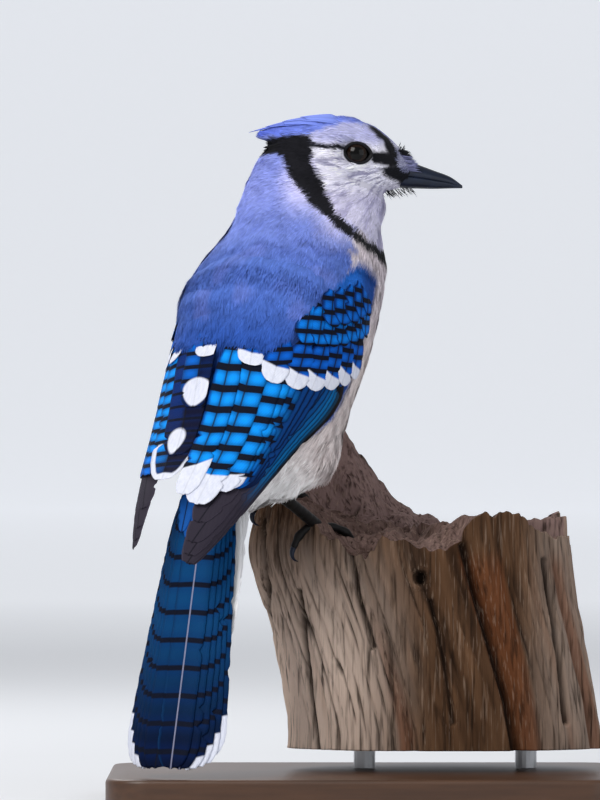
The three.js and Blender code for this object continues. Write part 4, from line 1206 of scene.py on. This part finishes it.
def wing_plan(side, period):
    """Root, tip, width, layer, rounding, colour, bars, their strength and white of a wing's long feathers."""
    azure, deep, navy = "0c92f4", "0a6cd6", "0a1a42"
    cells = tinted("0852b4", azure, deep, 0.8, 1, -0.8)
    fine = 0.68 * period
    if side > 0:
        plan = [
            ((42, 11), (112, 11), 10.5, 0, 0.86, cells, barred(period, 0.3, 6), 1.0, tipped(13, 0.3, 0.5)),
            ((40, 24), (115, 28), 13, 1, 0.87, cells, barred(period, 0.3, 2.4), 1.0, tipped(12.5, 0.3)),
            ((38, 33), (108, 41), 13, 2, 0.88, cells, barred(period, 0.3, 1.2), 1.0, tipped(7, 0.5)),
        ]
    else:
        plan = [
            ((42, 9), (78.5, 8.5), 15, 0, 0.7, tinted(navy, "0a62c4", navy, 0.6, 1, 0.05),
             barred(fine, 0.12, 1), 0.8, spotted(6.2, 5.6, 5.2)),
            ((40, 18), (99, 12), 17, 1, 0.74, tinted("0f122a", "0a2a6a", "0c1638", 0.5, 1, 0.15, 0.2),
             barred(fine, 0.12, 1), 0.5, spotted(6.6, 5.6, 3.3, 1.6)),
            ((38, 26), (110, 17), 21, 2, 0.72, tinted("191828", azure, "0a2a64", 0.72, 1, 0.1),
             barred(fine, 0.12, 3), 1.0, edged(18, 2.1)),
        ]
    for k in range(6):
        if side > 0:
            root, tip, width = (39, 40 + 5 * k), (106 - 0.6 * k, 45 + 3 * k), 12
            white = tipped(5, 0.4) if k == 0 else None
        else:
            root, tip, width, white = (40, 39 + 6.4 * k), (106 - 0.7 * k, 35 + 6.4 * k), 14.5, None
        if k < 3:
            outer = ("0c92f0", "0a74cc", "08589e")[k] if side > 0 else azure
            dress = tinted("081c48", outer, deep, 0.7, 1, -0.2)
        else:
            dress = lined("040e26", "0a3a78", "0c1430", 0.8)
        bars = barred(period if side > 0 else fine, 0.3, 1.4 * (k % 2) - 0.6 * k)
        plan.append((root, tip, width, 2.7 + 0.7 * k, 0.9, dress, bars, 1.0 if k < 3 else 0.0, white))
    lines = ("0a3c74", "0a4c8c", "0a5c9c", "0a6aaa", "0a629c", "163a54", "1c1715")
    for k, end in enumerate((121, 129, 134, 137, 137, 131, 122)):
        dress = lined("060d20" if k < 5 else "110e10", lines[k], "332e38", 0.52)
        root, tip = (36, 74 + 2.4 * k), (end, 39 + 6.5 * k)
        plan.append((root, tip, 13, 6.9 + 0.8 * k, 0.84, dress, None, 0.0, None))
    return plan


class JAY_OT_wings(bpy.types.Operator):
    """Makes both folded wings, feather by feather"""

    bl_idname = "jay.wings"
    bl_label = "Folded wings"

    def execute(self, context):
        period = context.scene.jay.bar_period
        for name, side, reach in (("right", 1, 1.0), ("left", -1, 0.955)):
            feathers = Feathers(31 + side)
            for root, tip, width, layer, rounding, colour, bars, dark, white in wing_plan(side, period):
                place = on_cloak(side, reach, root, tip, lambda along, at: layer * LAYER_STEP, 3.0)
                feathers.add(place, tip[0] - root[0], width, colour, rounding, rows=60, columns=17,
                             bars=bars, white=white, dark=dark, splits=3)
            for angles, ends, length, width, lift, code, start, white in covert_rows(side):
                for k, (at, end) in enumerate(zip(angles, ends)):
                    sunk, span = (1.3, 11) if at < 38 else (0, length)

                    def depth_of(along, angle):
                        under = LAYER_STEP * 9 * ramp(angle, 10, 96)
                        return under - (lift - 0.08 * k) * mix(0.5, 1, along) + sunk * (1 - along)

                    place = on_cloak(side, reach, (end - span, at - 2), (end, at), depth_of)
                    reach_white = white * (0.72 if k == 0 else 1 - 0.05 * k)
                    feathers.add(
                        place, span, width, tinted("082a70", code, outer_side=1, edge=-0.75), 0.62, rows=30,
                        columns=13, thickness=0.2, bars=barred(5.2, 0.1, start, 0.42),
                        white=tipped(reach_white, 0.2) if white else None, splits=1)
            wing = feathers.object(f"wing_feathers_{name}")
            settle(wing, "flight", palette()["Silky barbed vane"], f"wing_{name}")
        return {"FINISHED"}


class JAY_OT_tail(bpy.types.Operator):
    """Makes the tail with its coverts above and below"""

    bl_idname = "jay.tail"
    bl_label = "Tail"

    def execute(self, context):
        feathers = Feathers(41)
        lengths = [(118, 1, 3.6, 14.5), (118, 2, 7, 14.5), (118, 3, 9.9, 14), (117, 3.8, 12.4, 13.5),
                   (115.5, 4.6, 14.7, 13), (112, 5.4, 16.8, 12.5)]
        for k, (length, root, tip, width) in enumerate(lengths):
            for side in (-1, 1):
                layer = 0.5 * k + (0.25 if side < 0 else 0)

                def place(along, across, depth):
                    aside = side * mix(root, tip, along**0.9)
                    return tail_point(length * along, aside + across, -layer - depth)

                white = tipped(3.2 * k - 3, 0.5) if k > 1 else None
                inner, edge = ("063662", -0.9) if k == 0 else ("042042", -0.3)
                colour = tinted(inner, "083f6e", "030e2a", 0.45, side, edge, 0.1)
                feathers.add(
                    place, length, width, colour, 0.9, rows=64, columns=13, splits=2, dark=0.42,
                    bars=barred(10.3, 0.16, 8.5 + 0.8 * k), white=white, pale_shaft=k < 2 and side > 0)
        coverts = [
            (5, 36, 6, 1.1, 0, 40, "1c58a8"), (9, 73, 16.5, -4.6, -3, 60, "fbfafd"),
            (8, 58, 15, -6.6, -4, 46, "fbfafd"), (6, 44, 13.5, -8, -5, 36, "fbfafd"),
        ]
        for count, reach, spread, height, drop, length, code in coverts:
            for k in range(count):
                share = 2 * k / (count - 1) - 1

                def place(along, across, depth):
                    above = mix(height + drop * 0.4, height - drop * 0.25, along) - 0.25 * (k % 3) - depth
                    return tail_point(
                        reach - length + length * along - np.abs(share) * 5 * along,
                        share * spread * mix(0.5, 1, along) + across, above - 0.012 * across**2)

                feathers.add(
                    place, length, 9, tinted(code, code, glow=0.1), 0.45,
                    rows=30, columns=9, splits=4, ragged=1.0)
        tail = feathers.object("tail_feathers")
        settle(tail, "flight", palette()["Silky barbed vane"], "tail")
        return {"FINISHED"}


def bill_half(upper):
    """The surface of one half of the bill, closed along the mouth."""
    at = np.linspace(BILL[0, 0], BILL[-1, 0], 60)
    s = between(BILL, at)
    turn = np.linspace(0, np.pi, 21)
    flat = s[:, 1:2] + (0.0 if upper else -0.05)
    half = s[:, 3:4] * (1.0 if upper else 0.94)
    far = s[:, 0:1] if upper else s[:, 2:3]
    lift = np.sin(turn) ** (0.8 if upper else 0.7)
    edge = np.cos(turn) * mix(1, 0.92, np.sin(turn) ** 2)
    outer = head_point(at[:, None], half * edge, mix(flat, far, lift))
    inner = head_point(at[:, None], half * np.cos(turn[::-1][1:-1]) * 0.9, flat + np.zeros((1, 19)))
    return loft(np.concatenate([outer, inner], 1))


def eye_ball(name, side, centre):
    """One eyeball. Its Radius attribute is the distance from the pupil's middle, in millimetres."""
    bpy.ops.object.select_all(action="DESELECT")
    bpy.ops.mesh.primitive_uv_sphere_add(segments=64, ring_count=40, radius=EYE_RADIUS * MM)
    eye = bpy.context.active_object
    eye.name = f"eye_ball_{name}"
    values = listed(eye.data.vertices, "co", 3).astype(float)
    radius = np.hypot(values[:, 0] * METRE - 0.15, values[:, 2] * METRE)
    outward = values @ np.array((math.sin(HEAD_HEADING) * side, -math.cos(HEAD_HEADING) * side, 0))
    radius = np.where(outward > 0, radius, 9)
    values += (centre + SHIFT) * MM
    eye.data.vertices.foreach_set("co", values.astype(np.float32).ravel())
    eye.data.attributes.new("Radius", "FLOAT", "POINT").data.foreach_set("value", radius.astype(np.float32))
    eye.data.polygons.foreach_set("use_smooth", np.ones(len(eye.data.polygons), bool))
    return eye


def lid_ring(side, centre):
    """The closed rim of bare skin round one eye."""
    steps = 48
    angle = np.linspace(0, 2 * np.pi, steps, endpoint=False)
    line = head_point(
        EYE_PLACE[0] + 0.3 + 4.7 * np.cos(angle), side * (EYE_PLACE[1] + 3.2 - 0.6 * np.cos(angle) ** 2),
        EYE_PLACE[2] + 0.2 - 0.5 * np.cos(angle) + 3.35 * np.sin(angle) * np.abs(np.sin(angle)) ** 0.35)
    t = np.linspace(0, 2 * np.pi, 10, endpoint=False)[:, None]
    rings = []
    for k, place in enumerate(line):
        out = unit(place - centre)
        other = np.cross(unit(line[(k + 1) % steps] - line[k - 1]), out)
        rings.append(place + out * 0.35 + 0.75 * np.cos(t) * out + 0.55 * np.sin(t) * other)
    return loft(np.array([*rings, rings[0]]), ends=False)


def bristles(random, count=460):
    """Flat bristles over the nostrils on each side, dark above and pale below."""
    sides = []
    for side in (1, -1):
        high = random.uniform(0, 1, count)
        start = head_point(
            random.uniform(17.5, 22, count), side * random.uniform(1.0, 5.6, count), mix(3.4, -4.6, high))
        end = head_point(
            mix(25.5, 29.5, high) + random.uniform(-1, 1, count), side * random.uniform(0.6, 3.9, count),
            mix(1.4, -4.6, high) + random.normal(0, 0.4, count))
        sides.append((start, end, high))
    start, end, high = (np.concatenate(values) for values in zip(*sides))
    way = unit(end - start)
    normal = laid(unit(start - head_point(20, 0, -4)), way)
    tone = np.where((high < 0.3)[:, None], srgb("15161c"), srgb("75779c"))
    tone = tone * random.uniform(0.6, 1.25, (len(start), 1))
    length = np.linalg.norm(end - start, axis=1) * random.uniform(0.7, 1.0, len(start))
    bake = random.uniform(0.01, 0.02, (len(start), 2)) + high[:, None] * 0.5
    width, lift = np.full(len(start), 0.42), np.full(len(start), 0.12)
    return blades(start, normal, way, length, width, lift, tone, bake, random)


def whiskers(random, count=64, on_chin=50):
    """Fine dark hairs that hang from the chin and stand on the forehead."""
    share, chin = random.uniform(0, 1, count), (np.arange(count) < on_chin)[:, None]
    start = np.where(
        chin, head_point(mix(15, 26, share), random.uniform(-3.4, 3.4, count), mix(-12.6, -10.8, share)),
        head_point(mix(21, 23.4, share), random.uniform(-2.2, 2.2, count), mix(2.6, 1.4, share)))
    way = random.uniform(0.6, 1.0, count)[:, None] * np.where(chin, (3.2, 0, -3.4), (1.2, 0, 3.0))
    way = way + random.normal(0, 0.5, (count, 3))
    length = np.linalg.norm(way, axis=1)
    way = unit(way)
    normal = unit(np.array((0, -1.0, 0)) + way * way[:, 1:2])
    tone, bake = np.tile(srgb("16161b"), (count, 1)), random.uniform(0.6, 0.62, (count, 2))
    return blades(start, normal, way, length, np.full(count, 0.2), np.full(count, 0.05), tone, bake, random)


class JAY_OT_face(bpy.types.Operator):
    """Makes the bill, the eyes with their lids, and the bristles at the bill's root"""

    bl_idname = "jay.face"
    bl_label = "Bill and eyes"

    def execute(self, context):
        finishes = palette()
        for name in ("upper", "lower"):
            bill = made(f"bill_horn_{name}", *bill_half(name == "upper"))
            applied(bill, "SMOOTH", factor=0.4, iterations=2)
            settle(bill, "horn", finishes["Slate horn"], f"bill_{name}")
        for name, side in (("right", 1), ("left", -1)):
            centre = head_point(EYE_PLACE[0], side * EYE_PLACE[1], EYE_PLACE[2])
            settle(eye_ball(name, side, centre), "eye", finishes["Wet dark eye"], f"eye_{name}")
            corners, faces = lid_ring(side, centre)
            lid = made(f"lid_{name}", corners, faces, np.tile(srgb("101014"), (len(corners), 1)))
            settle(lid, "mantle", finishes["Dark leg scutes"])
        random = np.random.default_rng(51)
        hairs = [bristles(random), whiskers(random)]
        corners, faces = gathered([hair[:2] for hair in hairs])
        tint, uv = (np.concatenate([hair[k] for hair in hairs]) for k in (2, 3))
        tufts = made("nostril_bristles", corners, faces, tint, uv)
        settle(tufts, "mantle", finishes["Soft body plumage"])
        return {"FINISHED"}


def toe_line(leg, swing, length):
    """The line of a front toe, which bends down over the rim at its end."""
    x, y, z = leg["foot"]
    bearing = math.radians(leg["turn"] + swing)
    return [np.array((x + length * d * math.cos(bearing), y + length * d * math.sin(bearing), z - fall))
            for d, fall in ((0, 0.4), (0.36, 0.2), (0.7, 2.2), (0.94, 6.2))]


def hind_line(leg):
    """The line of the hind toe, in millimetres back and down from the foot."""
    foot, back = np.array(leg["foot"], float), np.array((*leg["hind"], 0))
    return [foot + back * d + np.array((0, 0, -fall))
            for d, fall in ((0, 0.4), (4.4, 0.3), (8.6, 3.4), (10.9, 7.6))]


def claw(line, size, curl):
    """A claw that goes on from a toe's end and curls over."""
    out, curl = unit(line[3] - line[2]), unit(np.array(curl))
    points = []
    for s in (0, 0.25, 0.5, 0.75, 1):
        ahead, over = size * math.sin(s * 1.5) * 0.75, size * (1 - math.cos(s * 1.5)) * 0.8
        points.append(line[3] + out * (0.1 + ahead) + curl * over)
    return tube(points, [1.05, 0.95, 0.7, 0.42, 0.12], 14, 24)


class JAY_OT_legs(bpy.types.Operator):
    """Makes the scaled legs and feet, and their claws"""

    bl_idname = "jay.legs"
    bl_label = "Legs and claws"

    def execute(self, context):
        finishes = palette()
        plates = lambda s: 1 + 0.07 * np.abs(np.sin(s * np.pi * 9)) ** 0.5
        joints = lambda s: 1 + 0.1 * np.cos(s * np.pi * 6) * (s < 0.95)
        for name, leg in LEGS.items():
            ankle, foot = body_point(*leg["ankle"]), np.array(leg["foot"], float)
            line = [ankle, mix(ankle, foot, 0.5), mix(ankle, foot, 0.98)]
            tarsus = tube(line, [2.4, 2.0, 2.1], 20, 90, plates)
            lines = {toe: (toe_line(leg, *TOES[toe]), 5.4) for toe in TOES}
            lines["hind"] = (hind_line(leg), 7.0)
            toes = [tube([foot, foot + (0.01, 0, -0.4)], [2.1, 2.0], 16, 4)]
            toes += [tube(line, [1.75, 1.45, 1.55, 1.15], 18, 60, joints) for line, _ in lines.values()]
            for part, pieces in (("tarsus", [tarsus]), ("foot", toes)):
                corners, faces = gathered(pieces)
                dull = srgb("0e0c0c") * (1 + 0.35 * noise(corners, 1.1, 5))[:, None]
                piece = made(f"{part}_plates_{name}", corners, faces, dull)
                settle(piece, "scute", finishes["Dark leg scutes"], f"{part}_{name}")
            for toe, (line, size) in lines.items():
                curl = leg["hind_curl"] if toe == "hind" else FRONT_CURL
                horn = made(f"claw_horn_{name}_{toe}", *claw(line, size, curl))
                settle(horn, "horn", finishes["Slate horn"], f"claw_{name}_{toe}")
        return {"FINISHED"}


def groove(x, z, line, half):
    """How deep inside a groove that follows a line on the picture plane each place is, from 0 to 1."""
    return ramp(off_line(x, z, line), half + 1.0, half * 0.3)


def seen(*pixels):
    """Places on the picture, as x and z at the trunk."""
    return [((px - PICTURE_MIDDLE) * PIXEL, (PICTURE_FOOT - py) * PIXEL) for px, py in pixels]


# Cracks of the trunk's near side: their line, half width and depth
CRACKS = [
    (seen((462, 545), (474, 592), (488, 640), (505, 700), (516, 765)), 0.9, 3.0),
    (seen((350, 555), (358, 600), (372, 645)), 0.6, 2.4),
    (seen((430, 600), (441, 650), (452, 720)), 0.5, 2.0),
    (seen((545, 560), (556, 640), (566, 720)), 0.8, 3.0),
    (seen((300, 590), (306, 650), (318, 760)), 0.4, 1.4),
    (seen((262, 520), (268, 600), (276, 700)), 0.5, 1.6),
]


KNOT = seen((420, 577))[0]


def squared(value):
    """A sine or cosine drawn a little towards a square's."""
    return np.sign(value) * np.abs(value) ** 0.92


def near_marks(x, height, near, dent, dark):
    """Adds the cracks and the knot hole of the near side to the wall's dents and to its painted shade."""
    for line, half, depth in CRACKS:
        deep = groove(x, height, line, half) * near
        dent = dent - depth * deep
        dark = np.maximum(dark, deep)
    knot = ramp(np.hypot(x - KNOT[0], (height - KNOT[1]) * 0.9), 2.9, 1.5) * near
    lip = np.exp(-(((np.hypot(x - KNOT[0], height - KNOT[1]) - 3.6) / 0.9) ** 2)) * near
    return dent - 5 * knot + 0.8 * lip, np.maximum(dark, knot)


def wall_colour(tone, spot, x, height):
    """Grey-brown wood, paler low on the left and at the right edge, with warm patches."""
    colour = mix(srgb("22140b"), srgb("664a35"), np.clip(tone, 0, 1)[:, None])
    pale = ramp(height, 112, 40) * ramp(x, 50, 0) + 0.25 * ramp(x, 78, 100)
    colour = mix(colour, srgb("f4dccb"), (pale * 0.9)[:, None])
    warm = ramp(noise(spot, 7.0, 67), 0.1, 0.6) * ramp(height, 95, 85) * ramp(x, 10, 30) * 0.6
    return mix(colour, srgb("6a3c22"), warm[:, None])


def break_colour(tone, turn):
    """The crumbling wood of the break, a little paler on its far side."""
    colour = mix(srgb("46342e"), srgb("7c6660"), np.clip(0.15 + 0.7 * tone, 0, 1)[:, None])
    return mix(colour, srgb("8a7370"), (ramp(-np.sin(turn), 0, 0.3) * 0.6)[:, None])


class JAY_OT_trunk(bpy.types.Operator):
    """Makes the weathered broken trunk"""

    bl_idname = "jay.trunk"
    bl_label = "Trunk"

    def execute(self, context):
        settings = context.scene.trunk
        columns = settings.columns
        bearing = np.linspace(0, 360, columns, endpoint=False)
        turn = np.radians(bearing)
        circle = np.column_stack([np.cos(turn), np.sin(turn)]) * TRUNK_RADIUS
        rim = np.interp(bearing, RIM[:, 0], RIM[:, 1])
        rim = rim + 1.1 * noise(circle, 2.2, 61) + 0.7 * noise(circle, 0.9, 62)
        swell = 1 + 0.02 * np.sin(3 * turn + 0.5) + 0.014 * np.sin(7 * turn + 2)
        for at, depth, half in FURROWS:
            swell = swell - depth / 50 * ramp(np.abs(bearing - at), half, 0)
        rings, tints = [], []

        def ring(reach, height, wall):
            s = between(TRUNK, height)
            lean = GRAIN_LEAN * np.maximum(0, rim - height) * ramp(reach, 0.9, 1)
            place = turn + np.radians(lean)
            spot = np.column_stack([circle * reach, height / 16])
            coarse, fine = noise(spot, 5.0, 63), noise(spot * (1, 1, 1.6), 1.3, 64)
            crack = ramp(np.abs(noise(spot * (1, 1, 0.5), 3.0, 65)), 0.1, 0.0)
            crack = crack * ramp(noise(spot, 9, 66), -0.3, 0.2)
            dent = settings.grain * (0.8 * coarse + 0.7 * fine) - 1.5 * crack
            x = s[:, 0] - s[:, 1] * reach * swell * squared(np.cos(place))
            tone = 0.5 + 0.35 * coarse + 0.3 * fine
            # Painted shade in the small cracks, which are dented as well
            dark = crack
            if wall:
                dent, dark = near_marks(x, height, np.sin(place) > 0, dent, dark)
            size = reach + dent / TRUNK_RADIUS * (1 if wall else 0.3)
            point = np.column_stack([
                s[:, 0] - s[:, 1] * size * mix(1, swell, reach) * squared(np.cos(place)),
                TRUNK_DEPTH[0] - TRUNK_DEPTH[1] * size * mix(1, swell, reach) * squared(np.sin(place)),
                height])
            colour = wall_colour(tone, spot, x, height) if wall else break_colour(tone, turn)
            # Painted shade: the cracks and the knot hole darken almost to black
            colour = mix(colour, srgb("120b08"), (dark * 0.92)[:, None])
            rings.append(point)
            tints.append(colour)

        for share in np.linspace(0, 1, 120):
            ring(1.0, mix(19.0, rim, share), True)
        for reach in np.linspace(0.985, 0.04, 46):
            height = mix(98.0, rim, reach**1.8)
            share = min(1, (1 - reach) / 0.2)
            splinter = share * (2.4 * np.sin(9 * turn + 5 * reach) + 1.8 * np.sin(5 * turn - 9 * reach))
            spot = np.column_stack([circle * reach, np.full(columns, reach * 5)])
            crumbs = 1.1 * noise(spot, 4.5, 68) + 0.8 * noise(spot, 1.7, 69)
            ring(reach, height + splinter + crumbs * ramp(reach, 0.99, 0.85), False)
        corners, faces = loft(np.array(rings))
        tint = np.concatenate(tints + [tints[0].mean(0)[None], tints[-1].mean(0)[None]])
        trunk = made("weathered_trunk", corners, faces, tint)
        settle(trunk, "bark_free_wood", palette()["Weathered grey wood"], "perch_trunk")
        return {"FINISHED"}


class JAY_OT_stand(bpy.types.Operator):
    """Makes the wooden base and dresses the rods"""

    bl_idname = "jay.stand"
    bl_label = "Stand"

    def execute(self, context):
        finishes = palette()
        low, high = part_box("stand_base")
        bpy.ops.object.select_all(action="DESELECT")
        bpy.ops.mesh.primitive_cube_add(size=1)
        base = bpy.context.active_object
        base.name = "base_board"
        middle, size = (low + high) / 2, high - low
        edited(base, lambda: bpy.ops.transform.resize(value=tuple(size)),
               lambda: bpy.ops.transform.translate(value=tuple(middle)))
        weights = base.data.attributes.new("bevel_weight_edge", "FLOAT", "EDGE")
        for edge in base.data.edges:
            a, b = (base.data.vertices[v].co for v in edge.vertices)
            weights.data[edge.index].value = 1.0 if abs(a.z - b.z) > 0.001 else 0.0
        applied(base, "BEVEL", limit_method="WEIGHT", width=0.016, segments=14)
        applied(base, "BEVEL", limit_method="ANGLE", angle_limit=math.radians(60), width=0.0016, segments=4)
        bpy.ops.object.shade_smooth_by_angle(angle=math.radians(30))
        settle(base, "base_wood", finishes["Satin brown wood"], "stand_base")
        for name in ("stand_rod_left", "stand_rod_right"):
            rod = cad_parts[name]
            rod.data.materials.clear()
            rod.data.materials.append(finishes["Brushed steel"])
        return {"FINISHED"}


class JAY_OT_studio(bpy.types.Operator):
    """Sets the pale sweep, the lights and the camera"""

    bl_idname = "jay.studio"
    bl_label = "Studio"

    def execute(self, context):
        scene = context.scene
        studio = scene.studio
        turn = np.linspace(-math.pi / 2, 0, 17)
        reach, back, bend, height = 12 * METRE, 8 * METRE, 1.5 * METRE, 6 * METRE
        curve = [(back + bend * math.cos(t), bend + bend * math.sin(t)) for t in turn]
        profile = [(-reach, 0), *curve, (back + bend, height)]
        rows = np.array([[(x, y, z) for y, z in profile] for x in (-reach, reach)], float) - SHIFT
        columns = len(profile)
        faces = np.array([(k, k + 1, columns + k + 1, columns + k) for k in range(columns - 1)])
        sweep = made("sweep", rows.reshape(-1, 3), faces)
        sweep.data.materials.append(palette()["Pale studio sweep"])
        for name, place, size, power, colour in [
            ("Key", (-0.75, -0.95, 1.15), 0.8, studio.key_power, (1.0, 0.985, 0.96)),
            ("Fill", (1.1, -1.0, 0.5), 1.2, studio.fill_power, (0.93, 0.96, 1.0)),
            ("Rim", (-0.4, 0.8, 0.9), 0.5, studio.fill_power, (1.0, 1.0, 1.0)),
        ]:
            data = bpy.data.lights.new(name, "AREA")
            data.size, data.energy, data.color = size, power, colour
            light = bpy.data.objects.new(name, data)
            scene.collection.objects.link(light)
            light.location = place
            aim = Vector((0, 0, 0.14)) - light.location
            light.rotation_euler = aim.to_track_quat("-Z", "Y").to_euler()
        world = bpy.data.worlds.new("Studio air")
        world.use_nodes = True
        world.node_tree.nodes["Background"].inputs[0].default_value = (0.97, 0.98, 1.0, 1)
        world.node_tree.nodes["Background"].inputs[1].default_value = 0.42
        scene.world = world
        data = bpy.data.cameras.new("Camera")
        data.sensor_width = 36
        data.lens = 36 * studio.distance / studio.view_height
        data.clip_start, data.clip_end = 0.1, 20
        camera = bpy.data.objects.new("Camera", data)
        scene.collection.objects.link(camera)
        camera.location = (SHIFT[0] * MM, SHIFT[1] * MM - studio.distance, studio.view_height / 2)
        camera.rotation_euler = (math.pi / 2, 0, 0)
        scene.camera = camera
        scene.view_settings.view_transform = "Standard"
        return {"FINISHED"}


class JAY_PT_panel(bpy.types.Panel):
    """Buttons that build the model piece by piece"""

    bl_label = "Blue jay"
    bl_idname = "JAY_PT_panel"
    bl_space_type = "VIEW_3D"
    bl_region_type = "UI"
    bl_category = "Blue jay"

    def draw(self, context):
        layout = self.layout
        for name in ("jay", "trunk", "studio"):
            settings = getattr(context.scene, name)
            for key in settings.bl_rna.properties.keys():
                if key not in ("rna_type", "name"):
                    layout.prop(settings, key)
        for operator in OPERATORS:
            layout.operator(operator.bl_idname)


SETTINGS = {"jay": JaySettings, "trunk": TrunkSettings, "studio": StudioSettings}
OPERATORS = (JAY_OT_studio, JAY_OT_stand, JAY_OT_trunk, JAY_OT_legs, JAY_OT_face, JAY_OT_skin, JAY_OT_crest,
             JAY_OT_wings, JAY_OT_tail)


def register():
    for kind in (*SETTINGS.values(), *OPERATORS, JAY_PT_panel):
        bpy.utils.register_class(kind)
    for name, kind in SETTINGS.items():
        setattr(bpy.types.Scene, name, bpy.props.PointerProperty(type=kind))


def unregister():
    for name in SETTINGS:
        delattr(bpy.types.Scene, name)
    for kind in reversed((*SETTINGS.values(), *OPERATORS, JAY_PT_panel)):
        bpy.utils.unregister_class(kind)


def main():
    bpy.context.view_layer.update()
    register()
    bpy.ops.object.select_all(action="DESELECT")
    for operator in OPERATORS:
        group, name = operator.bl_idname.split(".")
        getattr(getattr(bpy.ops, group), name)()


if __name__ == "__main__":
    main()
